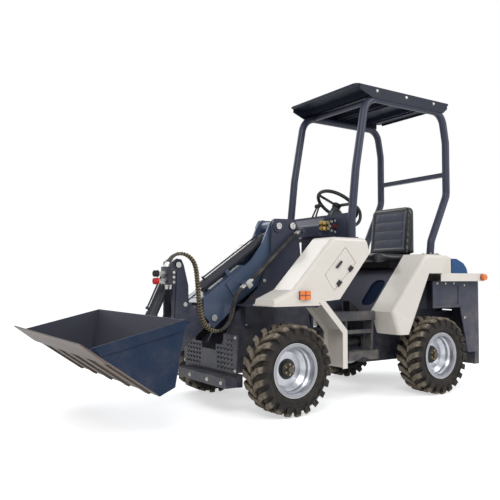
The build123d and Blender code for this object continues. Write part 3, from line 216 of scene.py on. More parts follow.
paintLook = {
    "structurePaint": {"base": (0.035, 0.040, 0.063), "rough": 0.34, "coat": 0.10, "shine": 0.22, "dust": 0.45},
    "roofPaint": {"base": (0.017, 0.021, 0.034), "rough": 0.45, "coat": 0.04, "shine": 0.10, "dust": 0.10},
    "boomPaint": {"base": (0.054, 0.078, 0.130), "rough": 0.27, "coat": 0.25, "shine": 0.26, "dust": 0.25},
    "bucketPaint": {"base": (0.013, 0.025, 0.054), "rough": 0.46, "coat": 0.04, "shine": 0.10, "dust": 0.12},
    "coverPaint": {"base": (0.64, 0.595, 0.535), "rough": 0.30, "coat": 0.45, "shine": 0.26, "dust": 0.22},
    "hatchPaint": {"base": (0.64, 0.595, 0.535), "rough": 0.30, "coat": 0.45, "shine": 0.26, "dust": 0.22},
    "hoodPaint": {"base": (0.018, 0.070, 0.185), "rough": 0.24, "coat": 0.20, "shine": 0.16, "dust": 0.10},
    "cylinderPaint": {"base": (0.026, 0.028, 0.036), "rough": 0.34, "coat": 0.15, "shine": 0.26, "dust": 0.25},
    "seatBasePaint": {"base": (0.078, 0.080, 0.102), "rough": 0.70, "coat": 0.0, "shine": 0.05, "dust": 0.20},
    "treadPaint": {"base": (0.045, 0.047, 0.054), "rough": 0.45, "coat": 0.05, "shine": 0.26, "dust": 0.60},
}
paintWear = {
    "coatRough": 0.14, "mottle": (2.3, 4.0), "mottled": (0.3, 0.7), "bright": 1.12, "peel": (420.0, 2.0),
    "grime": (9.0, 6.0, 0.65), "settled": (0.38, 0.72), "stained": (0.55, 0.9), "stain": 0.10, "height": (0.05, 1.0),
    "chips": (160.0, 4.0, 0.7), "chipped": (0.735, 0.76), "chipShare": 0.5, "chipTone": (0.20, 0.19, 0.18),
    "dustRough": 0.42, "mottleRough": 0.08, "relief": 0.5, "bump": (0.08, 0.0006),
    "patternRelief": 0.05, "patternBump": (0.6, 0.0025),
}


# sprayed paint: slow mottling, orange peel, dust that thins out with height, small chips
def paintFinish(name, coating=None, pattern=None):
    look = paintLook[name]
    wear = paintWear
    finish, place, join = newFinish(name, {"Coat Weight": look["coat"], "Coat Roughness": wear["coatRough"],
                                           "Specular IOR Level": look["shine"]})
    mottle = place.noise(*wear["mottle"])
    peel = place.noise(*wear["peel"])
    grime = place.noise(*wear["grime"])
    low = 1.0 - place.axis(2).ramp(*wear["height"])
    chips = place.noise(*wear["chips"]).ramp(*wear["chipped"])
    settled = low * grime.ramp(*wear["settled"]) * look["dust"]
    dust = (settled + grime.ramp(*wear["stained"]) * wear["stain"]).clipped()
    bright = tuple(min(1, c * wear["bright"]) for c in look["base"])
    tint = mottle.ramp(*wear["mottled"]).mixed(look["base"], bright)
    shade = dust.mixed((chips * wear["chipShare"]).mixed(tint, wear["chipTone"]), dustTone)
    join("Base Color", coating(place, shade) if coating else shade)
    join("Roughness", look["rough"] + dust * wear["dustRough"] + mottle * wear["mottleRough"])
    relief = peel * wear["relief"] + chips * wear["relief"]
    if pattern:
        join("Normal", (relief * wear["patternRelief"] + pattern(place)).bump(*wear["patternBump"]))
    else:
        join("Normal", relief.bump(*wear["bump"]))
    return finish


rubberLook = {"shine": 0.35, "grain": (260.0, 3.0), "grainRough": 0.15, "patches": (14.0, 5.0, 0.6),
              "dusty": (0.42, 0.8), "dust": 0.35, "bump": (0.25, 0.0008)}


# natural rubber for hoses, with a fine moulded skin
def rubberFinish(name, base, rough):
    look = rubberLook
    finish, place, join = newFinish(name, {"Specular IOR Level": look["shine"]})
    grain = place.noise(*look["grain"])
    patches = place.noise(*look["patches"])
    join("Base Color", (patches.ramp(*look["dusty"]) * look["dust"]).mixed(base, dustTone))
    join("Roughness", rough + grain * look["grainRough"])
    join("Normal", grain.bump(*look["bump"]))
    return finish


metalLook = {"streakStretch": (30.0, 30.0, 500.0), "streak": (1.0, 3.0), "streakRough": 0.12, "cloud": (18.0, 4.0),
             "clouded": (0.35, 0.75), "cloudRough": 0.08, "dark": 0.72, "bump": (0.06, 0.0004)}


# bare or plated metal with fine turning marks
def metalFinish(name, base, rough, metallic=1.0):
    look = metalLook
    finish, place, join = newFinish(name, {"Metallic": metallic})
    streak = place.stretched(look["streakStretch"]).noise(*look["streak"])
    cloud = place.noise(*look["cloud"])
    dark = tuple(c * look["dark"] for c in base)
    join("Base Color", cloud.ramp(*look["clouded"]).mixed(base, dark))
    join("Roughness", rough + streak * look["streakRough"] + cloud * look["cloudRough"])
    join("Normal", streak.bump(*look["bump"]))
    return finish


plasticLook = {"shine": 0.32, "grain": (700.0, 2.0), "grainRough": 0.12, "cloud": (6.0, 4.0), "clouded": (0.3, 0.8),
               "pale": 1.35, "bump": (0.15, 0.0005)}


# moulded plastic with a light grain
def plasticFinish(name, base, rough):
    look = plasticLook
    finish, place, join = newFinish(name, {"Specular IOR Level": look["shine"]})
    grain = place.noise(*look["grain"])
    cloud = place.noise(*look["cloud"])
    pale = tuple(c * look["pale"] for c in base)
    join("Base Color", cloud.ramp(*look["clouded"]).mixed(base, pale))
    join("Roughness", rough + grain * look["grainRough"])
    join("Normal", grain.bump(*look["bump"]))
    return finish


lensLook = {"coat": 0.9, "coatRough": 0.05, "rough": 0.22, "ribs": (260.0, 260.0, 260.0), "bump": (0.30, 0.0010),
            "cloud": (30.0, 3.0), "clouded": (0.3, 0.75), "deep": (0.70, 0.13, 0.010), "pale": (0.80, 0.22, 0.020),
            "rimDepth": 0.0025, "faceDepth": 0.0010, "rimTone": (0.16, 0.022, 0.004)}


# amber lens with moulded ribs and a darker rim behind its face
def lensFinish(name, face):
    look = lensLook
    finish, place, join = newFinish(name, {"Coat Weight": look["coat"], "Coat Roughness": look["coatRough"],
                                           "Roughness": look["rough"]})
    ribs = place.stretched(look["ribs"]).node("ShaderNodeTexVoronoi", {}, {"Scale": 1.0})
    amber = place.noise(*look["cloud"]).ramp(*look["clouded"]).mixed(look["deep"], look["pale"])
    raised = place.axis(1).size().ramp(face - look["rimDepth"], face - look["faceDepth"])
    join("Base Color", raised.mixed(look["rimTone"], amber))
    join("Normal", ribs.bump(*look["bump"]))
    return finish


wheelLook = {"axleZ": 0.292, "front": shiftX, "rear": shiftX - 1.385, "middle": 0.507}
wheels = [(end, side, hand) for end in ("front", "rear") for side, hand in (("left", 1), ("right", -1))]
tyreLook = {
    "shine": 0.30, "grain": (240.0, 3.0), "patches": (22.0, 6.0, 0.65), "clods": (70.0, 5.0, 0.7), "ringWave": 900.0,
    "scuffed": (0.40, 0.85), "flank": (0.013, 0.011, 0.010), "scuff": (0.050, 0.040, 0.031),
    "caked": (0.30, 0.72), "lug": (0.12, 0.096, 0.070), "cake": (0.36, 0.30, 0.225),
    "crown": (0.266, 0.282), "dusted": (0.30, 0.60), "dustLeast": 0.35, "dustMore": 0.65,
    "rough": 0.62, "grainRough": 0.18, "dustRough": 0.15, "flat": (0.235, 0.245),
    "grainRelief": 0.6, "clodRelief": 0.5, "ringRelief": 0.15, "bump": (0.35, 0.0012),
}


# tyre: dusty lugs, dark flanks with faint scuffs round the wheel
def tyreFinish(name, axleX):
    look = tyreLook
    finish, place, join = newFinish(name, {"Specular IOR Level": look["shine"]})
    radius = place.reach(axleX, wheelLook["axleZ"])
    grain = place.noise(*look["grain"])
    patches = place.noise(*look["patches"])
    clods = place.noise(*look["clods"])
    rings = (radius * look["ringWave"]).sine()
    flank = patches.ramp(*look["scuffed"]).mixed(look["flank"], look["scuff"])
    lug = clods.ramp(*look["caked"]).mixed(look["lug"], look["cake"])
    share = look["dustLeast"] + patches.ramp(*look["dusted"]) * look["dustMore"]
    dusty = (radius.ramp(*look["crown"]) * share).clipped()
    join("Base Color", dusty.mixed(flank, lug))
    join("Roughness", look["rough"] + grain * look["grainRough"] + dusty * look["dustRough"])
    flat = 1.0 - radius.ramp(*look["flat"])
    relief = grain * look["grainRelief"] + clods * look["clodRelief"] + rings * flat * look["ringRelief"]
    join("Normal", relief.bump(*look["bump"]))
    return finish


rimLook = {
    "coat": 0.25, "coatRough": 0.1, "hub": (0.0665, 0.0671), "core": (0.0225, 0.0231), "cloud": (16.0, 5.0, 0.6),
    "turnWave": 1500.0, "clouded": (0.35, 0.75), "bright": (0.55, 0.56, 0.59), "dull": (0.38, 0.39, 0.42),
    "flange": (0.1520, 0.1690, 0.0015), "flangeShare": 0.7, "flangeTone": (0.20, 0.20, 0.205),
    "stained": (0.30, 0.80), "black": (0.010, 0.010, 0.010), "worn": (0.030, 0.029, 0.027),
    "brass": (0.090, 0.072, 0.048), "oily": (0.045, 0.036, 0.025),
    "metallic": 0.9, "hubMetallic": 0.75, "rough": 0.24, "cloudRough": 0.14, "hubRough": 0.20,
    "turnRelief": 0.5, "bump": (0.08, 0.0005),
}


# rim: bright sprayed dish, black hub, brassy core
def rimFinish(name, axleX):
    look = rimLook
    finish, place, join = newFinish(name, {"Coat Weight": look["coat"], "Coat Roughness": look["coatRough"]})
    radius = place.reach(axleX, wheelLook["axleZ"])
    hub = 1.0 - radius.ramp(*look["hub"])
    core = 1.0 - radius.ramp(*look["core"])
    cloud = place.noise(*look["cloud"])
    turned = (radius * look["turnWave"]).sine()
    bright = cloud.ramp(*look["clouded"]).mixed(look["bright"], look["dull"])
    silver = (radius.band(*look["flange"]) * look["flangeShare"]).mixed(bright, look["flangeTone"])
    black = cloud.ramp(*look["stained"]).mixed(look["black"], look["worn"])
    brass = cloud.ramp(*look["stained"]).mixed(look["brass"], look["oily"])
    join("Base Color", core.mixed(hub.mixed(silver, black), brass))
    join("Metallic", look["metallic"] - hub * look["hubMetallic"])
    join("Roughness", look["rough"] + cloud * look["cloudRough"] + hub * look["hubRough"])
    join("Normal", (turned * look["turnRelief"] + cloud).bump(*look["bump"]))
    return finish


vinylLook = {
    "coat": 0.40, "coatRough": 0.14, "shine": 0.35, "grain": (420.0, 3.0), "cloud": (9.0, 4.0), "clouded": (0.3, 0.8),
    "creaseStretch": (55.0, 20.0, 34.0), "creases": (1.0, 5.0, 0.6), "creased": (0.35, 0.70),
    "panelSide": (0.166, 0.169), "panelHeight": (1.128, 1.432, 0.003),
    "plain": (0.011, 0.011, 0.013), "plainPale": (0.022, 0.022, 0.026),
    "panel": (0.024, 0.029, 0.054), "panelPale": (0.040, 0.047, 0.078),
    # the seam rows are darkened with painted crease shade
    "seams": (1.205, 1.280, 1.355), "seamHalf": 0.0020, "seamSoft": 0.0025, "seamShade": (0.004, 0.004, 0.005),
    "rough": 0.20, "grainRough": 0.10, "cloudRough": 0.10, "grainRelief": 0.10, "bump": (0.35, 0.0022),
}


# glossy vinyl with grain, creases and a lighter middle field with seams on the backrest; the seams carry painted
# crease shade
def vinylFinish(name):
    look = vinylLook
    finish, place, join = newFinish(name, {"Coat Weight": look["coat"], "Coat Roughness": look["coatRough"],
                                           "Specular IOR Level": look["shine"]})
    grain = place.noise(*look["grain"])
    creases = place.stretched(look["creaseStretch"]).noise(*look["creases"])
    cloud = place.noise(*look["cloud"])
    inside = 1.0 - place.axis(1).size().ramp(*look["panelSide"])
    field = inside * place.axis(2).band(*look["panelHeight"])
    plain = cloud.ramp(*look["clouded"]).mixed(look["plain"], look["plainPale"])
    panel = cloud.ramp(*look["clouded"]).mixed(look["panel"], look["panelPale"])
    half = look["seamHalf"]
    rows = [place.axis(2).band(row - half, row + half, look["seamSoft"]) for row in look["seams"]]
    # painted crease shade along the seam rows
    seams = field * (rows[0] + rows[1] + rows[2])
    join("Base Color", seams.mixed(field.mixed(plain, panel), look["seamShade"]))
    join("Roughness", look["rough"] + grain * look["grainRough"] + cloud * look["cloudRough"])
    join("Normal", (grain * look["grainRelief"] + creases.ramp(*look["creased"])).bump(*look["bump"]))
    return finish


lampFace = {"front": 0.618, "rear": 0.5722}  # how far out the lenses stand
finishes = {
    "structure_paint": paintFinish("structurePaint"),
    "boom_paint": paintFinish("boomPaint"),
    "bucket_paint": paintFinish("bucketPaint", bucketWearAndBounce),
    "cover_paint": paintFinish("coverPaint"),
    "hood_paint": paintFinish("hoodPaint"),
    "cylinder_paint": paintFinish("cylinderPaint"),
    "lamp_lens": lensFinish("amberFront", lampFace["front"]),
    "rod_chrome": metalFinish("rodChrome", (0.78, 0.78, 0.80), 0.10),
    "coupler_steel": metalFinish("couplerSteel", (0.17, 0.17, 0.165), 0.36, 0.7),
    "control_plastic": plasticFinish("controlPlastic", (0.014, 0.014, 0.016), 0.40),
    "seat_vinyl": vinylFinish("seatVinyl"),
    "engine_iron": metalFinish("engineIron", (0.12, 0.12, 0.125), 0.55, 0.6),
    "hose_rubber": rubberFinish("hoseRubber", (0.020, 0.019, 0.018), 0.45),
    "tyre_rubber": tyreFinish("tyreFront", wheelLook["front"]),
    "rim_paint": rimFinish("rimFront", wheelLook["front"]),
}
ownFinish = {
    "front_hatch": paintFinish("hatchPaint", hatchTrim),
    "seat_base": paintFinish("seatBasePaint", recessShadeAndTop),
    "canopy_roof": paintFinish("roofPaint"),
    "rear_lamps": lensFinish("amberRear", lampFace["rear"]),
    "operator_platform": paintFinish("treadPaint", None, lozenges),
    "tyre_rear": tyreFinish("tyreRear", wheelLook["rear"]),
    "rim_rear": rimFinish("rimRear", wheelLook["rear"]),
}
trimFinish = {
    "pinSteel": metalFinish("pinSteel", (0.60, 0.59, 0.57), 0.30),
    "boltZinc": metalFinish("boltZinc", (0.74, 0.73, 0.70), 0.34, 0.7),
    "boltBlack": metalFinish("boltBlack", (0.020, 0.020, 0.021), 0.45, 0.5),
    "fittingBrass": metalFinish("fittingBrass", (0.58, 0.43, 0.20), 0.34),
    "spiralBrass": plasticFinish("spiralBrass", (0.300, 0.220, 0.105), 0.34),
    "capRed": plasticFinish("capRed", (0.50, 0.010, 0.016), 0.36),
    "knobRed": plasticFinish("knobRed", (0.16, 0.022, 0.018), 0.40),
    "clampPale": plasticFinish("clampPale", (0.50, 0.50, 0.47), 0.48),
}
for part in frame["record"]["subparts"]:
    node = frame["nodes"][part["node"]]
    chosen = [own for start, own in ownFinish.items() if part["node"].startswith(start)]
    node.data.materials.clear()
    node.data.materials.append(chosen[0] if chosen else finishes[part["material_slot"]])
print("finishes on", len(frame["nodes"]), "nodes")


def deselectAll():
    if bpy.context.object and bpy.context.object.mode != "OBJECT":
        bpy.ops.object.mode_set(mode="OBJECT")
    bpy.ops.object.select_all(action="DESELECT")


def pickOnly(piece):
    deselectAll()
    piece.select_set(True)
    bpy.context.view_layer.objects.active = piece


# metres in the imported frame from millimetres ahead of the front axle
def spot(x, y, z):
    return Vector((x / 1000 + shiftX, y / 1000, z / 1000))


hoseLook = {
    "radius": 0.009,
    "pitch": 0.024,  # from one hose of a pair to the other
    "tower": [(-379, 128, 1218), (-330, 128, 1190), (-285, 130, 1152), (-225, 133, 1098), (-150, 136, 1036),
              (-70, 137, 962), (5, 137, 890.7), (71.1, 137, 845.3)],
    "loop": [(96.3, 137, 827.9), (150.7, 137, 790.5), (187, 139, 722), (207, 143, 614), (254, 147, 544),
             (330, 149, 519), (404, 147, 549), (442, 143, 620), (458, 137, 739), (462, 127, 850), (466, 116, 945),
             (491, 110, 1002), (542, 104, 1037), (604, 101, 1037), (654, 100, 1001), (678.4, 100, 946.2)],
}
curveLook = {"steps": 8, "order": 3, "hoseRound": 5, "wireRound": 1}


def routeCurve(name, points, thickness, kind="NURBS", roundness=curveLook["hoseRound"]):
    curve = bpy.data.curves.new(name, "CURVE")
    curve.dimensions = "3D"
    curve.resolution_u = curveLook["steps"]
    curve.bevel_depth = thickness
    curve.bevel_resolution = roundness
    curve.use_fill_caps = True
    spline = curve.splines.new(kind)
    spline.points.add(len(points) - 1)
    for knot, place in zip(spline.points, points):
        knot.co = (*place, 1)
    spline.order_u = curveLook["order"]
    spline.use_endpoint_u = True
    made = bpy.data.objects.new(name, curve)
    scene.collection.objects.link(made)
    return made


def asMesh(piece):
    pickOnly(piece)
    bpy.ops.object.convert(target="MESH")
    made = bpy.context.object
    bpy.ops.object.shade_smooth()
    return made


# the points that the smooth line of a route passes through
def routeLine(points):
    bare = routeCurve("bareRoute", points, 0)
    bpy.context.view_layer.update()
    mesh = bpy.data.meshes.new_from_object(bare)
    line = [v.co.copy() for v in mesh.vertices]
    bpy.data.objects.remove(bare)
    bpy.data.meshes.remove(mesh)
    return line


spiralLook = {"radius": 0.0106, "wire": 0.0022, "pitch": 0.0185, "step": 0.0015, "from": 0.34, "to": 0.90}


# a spring-like guard wound round part of a hose
def makeSpiral(name, line, length):
    look = spiralLook
    points = []
    travelled = 0.0
    for a, b in zip(line, line[1:]):
        run = (b - a).length
        way = (b - a).normalized()
        across = (Vector((0, 1, 0)) - way * way.y).normalized()
        lift = way.cross(across)
        steps = max(1, round(run / look["step"]))
        for i in range(steps):
            gone = travelled + run * i / steps
            if look["from"] * length < gone < look["to"] * length:
                turn = 2 * math.pi * gone / look["pitch"]
                ring = across * math.cos(turn) + lift * math.sin(turn)
                points.append(a + (b - a) * i / steps + ring * look["radius"])
        travelled += run
    guard = asMesh(routeCurve(name, points, look["wire"], "POLY", curveLook["wireRound"]))
    guard.data.materials.append(trimFinish["spiralBrass"])
    return guard


def makeHose(node, points, guarded):
    first, *rest = node.split("_")
    name = first + "".join(word.capitalize() for word in rest)
    line = routeLine(points)
    length = sum((b - a).length for a, b in zip(line, line[1:]))
    hose = asMesh(routeCurve(name, points, hoseLook["radius"]))
    hose.data.materials.append(finishes["hose_rubber"])
    guards = [makeSpiral(name + "Guard", line, length)] if guarded else []
    for piece in [hose] + guards:
        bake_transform(piece)
    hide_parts(node)


hoseEnds = []  # place, way along the hose, body
for run, bodies in (("tower", ("front_frame", "boom")), ("loop", ("boom", "inner_boom"))):
    for side, step in (("inner", 0.0), ("outer", hoseLook["pitch"])):
        points = [spot(*p) + Vector((0, step, 0)) for p in hoseLook[run]]
        makeHose("%s_hose_%s" % (run, side), points, run == "loop")
        hoseEnds.append((points[0], points[1] - points[0], bodies[0]))
        hoseEnds.append((points[-1], points[-2] - points[-1], bodies[1]))
print("hoses laid")

facing = 0.9  # part of a normal that counts as facing a way
touch = 0.001  # how near counts as on an edge
smoothAngle = 0.55


# edit mode with the faces or edges chosen that pass a test
def chooseParts(piece, kind, test):
    pickOnly(piece)
    bpy.ops.object.mode_set(mode="EDIT")
    bpy.ops.mesh.select_mode(type=kind)
    bpy.ops.mesh.select_all(action="DESELECT")
    bpy.ops.object.mode_set(mode="OBJECT")
    for part in piece.data.polygons if kind == "FACE" else piece.data.edges:
        part.select = test(part)
    bpy.ops.object.mode_set(mode="EDIT")


def chooseAll(piece):
    pickOnly(piece)
    bpy.ops.object.mode_set(mode="EDIT")
    bpy.ops.mesh.select_all(action="SELECT")


def settle(piece):
    pickOnly(piece)
    bpy.ops.object.transform_apply(location=True, rotation=True, scale=True)
    return piece


def raiseFace(inset, move):
    bpy.ops.mesh.inset(thickness=inset)
    bpy.ops.mesh.extrude_region_move(TRANSFORM_OT_translate={"value": move})


# a turned or hexagonal stud: a disc on the floor with steps (inset, rise) up from it
def makeStud(look):
    deselectAll()
    bpy.ops.mesh.primitive_cylinder_add(vertices=look["sides"], radius=look["radius"], depth=look["thick"],
                                        location=(0, 0, look["thick"] / 2))
    stud = settle(bpy.context.object)
    chooseParts(stud, "FACE", lambda face: face.normal.z > facing)
    for inset, rise in look["steps"]:
        raiseFace(inset, (0, 0, rise))
    bpy.ops.object.mode_set(mode="OBJECT")
    return stud


studLook = {
    "bolt": {"sides": 12, "radius": 0.011, "thick": 0.0025,
             "steps": [(0.0030, 0.0055), (0.0008, 0.0006), (0.0034, -0.0020)]},
    "pinHead": {"sides": 28, "radius": 0.020, "thick": 0.0018,
                "steps": [(0.0006, 0.0008), (0.0090, -0.0012), (0.0030, 0.0016)]},
    "ferrule": {"sides": 6, "radius": 0.0160, "thick": 0.013,
                "steps": [(0.0022, 0.0010), (0.0003, 0.0160), (0.0006, 0.0012), (0.0002, 0.0050)]},
    "cap": {"sides": 18, "radius": 0.0225, "thick": 0.006,
            "steps": [(0.0012, 0.0010), (0.0004, 0.0210), (0.0030, 0.0030), (0.0080, -0.0020)]},
}
studs = {name: makeStud(look) for name, look in studLook.items()}


# a copy with its own mesh, moved in the mesh
def copyMoved(piece, placing):
    made = piece.copy()
    made.data = piece.data.copy()
    made.data.transform(placing)
    scene.collection.objects.link(made)
    return made


# a stud standing on a place and pointing a way
def copyStud(name, place, way, size=1.0):
    turn = Vector((0, 0, 1)).rotation_difference(Vector(way).normalized()).to_matrix().to_4x4()
    return copyMoved(studs[name], Matrix.Translation(place) @ turn @ Matrix.Scale(size, 4))


def finishPiece(piece, name, body, finish):
    piece.name = name
    pickOnly(piece)
    bpy.ops.object.shade_smooth_by_angle(angle=smoothAngle)
    piece.data.materials.clear()
    piece.data.materials.append(finish)
    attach(piece, body)


def joinPieces(name, pieces, body, finish):
    deselectAll()
    for piece in pieces:
        piece.select_set(True)
    bpy.context.view_layer.objects.active = pieces[0]
    if len(pieces) > 1:
        bpy.ops.object.join()
    finishPiece(bpy.context.view_layer.objects.active, name, body, finish)


# evenly spaced angles of a full turn
def turns(count, first=0.0):
    return [2 * math.pi * (i + first) / count for i in range(count)]


# rows of (x, y, z in mm, way, size), each on both sides of the machine
studKinds = {"bolt": ("boltZinc", "coupler_steel"), "pinHead": ("pinSteel", "rod_chrome")}
studRows = {
    "canopyBolts": ("rear_frame", "bolt", [(x, 407.3, 2291, "side", 1.0) for x in (-924, -1241, -1558)]),
    "roofPostBolts": ("rear_frame", "bolt",
                      [(-1540 + dx, 370 + dy, 1073, "up", 0.8) for dx in (-38, 38) for dy in (-38, 38)]),
    "panelBolts": ("rear_frame", "bolt", [(x, 500, 836, "side", 0.75) for x in (-1462, -1560, -1660)]
                   + [(-1790, 500, z, "side", 0.75) for z in (820, 560)]),
    "bumperBolts": ("rear_frame", "bolt", [(-2070, y, 232, "back", 1.3) for y in (180, 330)]),
    "guardBolts": ("front_frame", "bolt", [(375, y, 209, "ahead", 1.2) for y in (120, 300)]
                   + [(297, 345, z, "ahead", 0.9) for z in (283, 495)]),
    "towerBolts": ("front_frame", "bolt",
                   [(x, 108, z, "side", 1.1) for x, z in ((60, 560), (-40, 640), (-95, 860), (180, 420))]),
    "towerPins": ("front_frame", "pinHead", [(-215, 122, 1255, "side", 1.2), (-342, 118, 1260, "side", 1.25),
                                             (-450, 116, 300, "side", 0.95)]),
    "boomPins": ("boom", "pinHead", [(304.9, 93, 609.4, "side", 1.1)]),
    "headPins": ("inner_boom", "pinHead", [(570, 80, 965, "side", 0.95), (517.3, 78, 704.8, "side", 0.75)]),
    "toolPins": ("bucket", "pinHead", [(700, 104, 385, "side", 1.05), (758, 104, 568, "side", 1.4)]),
}
ways = {"side": (0, 1, 0), "up": (0, 0, 1), "ahead": (1, 0, 0), "back": (-1, 0, 0), "down": (0, 0, -1)}
for name, (body, kind, rows) in studRows.items():
    finish, slot = studKinds[kind]
    pieces = []
    for x, y, z, way, size in rows:
        for hand in (1, -1):
            out = Vector(ways[way])
            out.y *= hand
            pieces.append(copyStud(kind, spot(x, hand * y, z), out, size))
    joinPieces(name, pieces, body, trimFinish[finish])

# nuts on the face of each hub
nutLook = {"count": 6, "first": 0.5, "circle": 0.0320, "face": 0.529, "size": 0.58}
for end, side, hand in wheels:
    nuts = []
    for turn in turns(nutLook["count"], nutLook["first"]):
        place = Vector((wheelLook[end] + nutLook["circle"] * math.cos(turn), hand * nutLook["face"],
                        wheelLook["axleZ"] + nutLook["circle"] * math.sin(turn)))
        nuts.append(copyStud("bolt", place, (0, hand, 0), nutLook["size"]))
    joinPieces("nuts_%s_%s" % (end, side), nuts, "wheel_%s_%s" % (end, side),
               trimFinish["fittingBrass"])

# crimped ends where the hoses meet their blocks
for body in ("front_frame", "boom", "inner_boom"):
    ends = [copyStud("ferrule", place, way) for place, way, holder in hoseEnds if holder == body]
    joinPieces("hoseEnds_" + body, ends, body, trimFinish["pinSteel"])

# dust caps on the quick couplers
couplerLook = {"y": 127.65, "low": 859, "high": 907, "tip": 740, "root": 694}
for name, z, finish in (("couplerCapLow", couplerLook["low"], "capRed"),
                        ("couplerCapHigh", couplerLook["high"], "boltBlack")):
    cap = copyStud("cap", spot(couplerLook["tip"], couplerLook["y"], z), ways["ahead"])
    joinPieces(name, [cap], "inner_boom", trimFinish[finish])
print("studs, nuts and caps set")


# raised rings on the flanks of a tyre, turned once and copied to each wheel
ribLook = {"rings": (0.199, 0.232), "flank": 0.0998, "wire": 0.0024, "sides": 6, "steps": 72, "weld": 0.00005}
ribs = []
for radius in ribLook["rings"]:
    for y in (ribLook["flank"], -ribLook["flank"]):
        deselectAll()
        bpy.ops.mesh.primitive_circle_add(vertices=ribLook["sides"], radius=ribLook["wire"], location=(radius, y, 0))
        ring = settle(bpy.context.object)
        chooseAll(ring)
        bpy.ops.mesh.spin(steps=ribLook["steps"], angle=2 * math.pi, center=(0, 0, 0), axis=(0, 1, 0))
        bpy.ops.mesh.select_all(action="SELECT")
        bpy.ops.mesh.remove_doubles(threshold=ribLook["weld"])
        bpy.ops.mesh.normals_make_consistent(inside=False)
        bpy.ops.object.mode_set(mode="OBJECT")
        ribs.append(ring)
for end, side, hand in wheels:
    centre = Matrix.Translation((wheelLook[end], hand * wheelLook["middle"], wheelLook["axleZ"]))
    rings = [copyMoved(ring, centre) for ring in ribs]
    rubber = ownFinish["tyre_rear"] if end == "rear" else finishes["tyre_rubber"]
    joinPieces("ribs_%s_%s" % (end, side), rings, "wheel_%s_%s" % (end, side), rubber)
print("tyre ribs turned")


def makeBox(low, high):
    deselectAll()
    bpy.ops.mesh.primitive_cube_add(size=1, location=(low + high) / 2, scale=high - low)
    return settle(bpy.context.object)


# test for the edges that run along an axis
def upright(piece, axis):
    dots = piece.data.vertices
    return lambda edge: abs((dots[edge.vertices[0]].co - dots[edge.vertices[1]].co).normalized()[axis]) > facing


# test for the edge at the top of a box's front
def topFront(piece):
    dots = piece.data.vertices
    top = max(dot.co.z for dot in dots)
    front = max(dot.co.x for dot in dots)
    return lambda edge: all(dots[i].co.z > top - touch and dots[i].co.x > front - touch for i in edge.vertices)


def addModifier(piece, kind, **settings):
    pickOnly(piece)
    made = piece.modifiers.new(kind.lower(), kind)
    for key, value in settings.items():
        setattr(made, key, value)
    bpy.ops.object.modifier_apply(modifier=made.name)


# valve block that the loop hoses end on, with its couplers
blockLook = {"low": (640, 72.4, 836), "high": (694.6, 183, 928.8), "rise": 0.0243, "edge": 0.0030,
             "couplerSize": 1.25, "sideBolts": [(656, 183, z) for z in (852, 884, 914)],
             "underside": [(x, couplerLook["y"], 836.5) for x in (655, 680)], "smallSize": 0.8}
valve = makeBox(spot(*blockLook["low"]), spot(*blockLook["high"]))
chooseParts(valve, "EDGE", topFront(valve))
bpy.ops.transform.translate(value=(0, 0, blockLook["rise"]))
bpy.ops.object.mode_set(mode="OBJECT")
addModifier(valve, "BEVEL", width=blockLook["edge"], segments=2)
finishPiece(valve, "valveBlock", "inner_boom", finishes["cylinder_paint"])
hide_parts("hydraulic_couplers")
couplers = [copyStud("ferrule", spot(couplerLook["root"], couplerLook["y"], couplerLook[level]), ways["ahead"],
                     blockLook["couplerSize"]) for level in ("low", "high")]
couplers += [copyStud("bolt", spot(*p), ways["side"], blockLook["smallSize"]) for p in blockLook["sideBolts"]]
couplers += [copyStud("ferrule", spot(*p), ways["down"], blockLook["smallSize"]) for p in blockLook["underside"]]
joinPieces("valveFittings", couplers, "inner_boom", trimFinish["pinSteel"])

# liner behind each rear wheel, with a raised middle
linerLook = {"low": (-1745, 238, 560), "high": (-1418, 243, 848), "border": 0.030, "rise": 0.006, "edge": 0.0015}
for hand, name in ((1, "archLinerLeft"), (-1, "archLinerRight")):
    low = Vector(linerLook["low"])
    high = Vector(linerLook["high"])
    if hand < 0:
        low.y, high.y = -high.y, -low.y
    liner = makeBox(spot(*low), spot(*high))
    chooseParts(liner, "FACE", lambda face: face.normal.y * hand > facing)
    raiseFace(linerLook["border"], (0, hand * linerLook["rise"], 0))
    bpy.ops.object.mode_set(mode="OBJECT")
    addModifier(liner, "BEVEL", width=linerLook["edge"], segments=2)
    finishPiece(liner, name, "rear_frame", finishes["structure_paint"])
print("valve block and liners made")

# pale clamp over the hoses, placed along (u) and across (w) the boom from its pivot
clampLook = {"pivot": (96, 941), "slope": math.radians(34.5), "u": 49, "w": -93, "size": (0.040, 0.007, 0.052),
             "face": 0.1835, "border": 0.008, "rise": 0.004, "edge": 0.0018}
ahead, drop = math.cos(clampLook["slope"]), math.sin(clampLook["slope"])
clampX = clampLook["pivot"][0] + clampLook["u"] * ahead + clampLook["w"] * drop
clampZ = clampLook["pivot"][1] - clampLook["u"] * drop + clampLook["w"] * ahead
halfClamp = Vector(clampLook["size"]) / 2
clamp = makeBox(-halfClamp, halfClamp)
chooseParts(clamp, "FACE", lambda face: face.normal.y > facing)
raiseFace(clampLook["border"], (0, clampLook["rise"], 0))
bpy.ops.object.mode_set(mode="OBJECT")
addModifier(clamp, "BEVEL", width=clampLook["edge"], segments=2)
clamp.rotation_euler = (0, clampLook["slope"], 0)
clamp.location = spot(clampX, 1000 * (clampLook["face"] + halfClamp.y), clampZ)
finishPiece(settle(clamp), "hoseClamp", "boom", trimFinish["clampPale"])

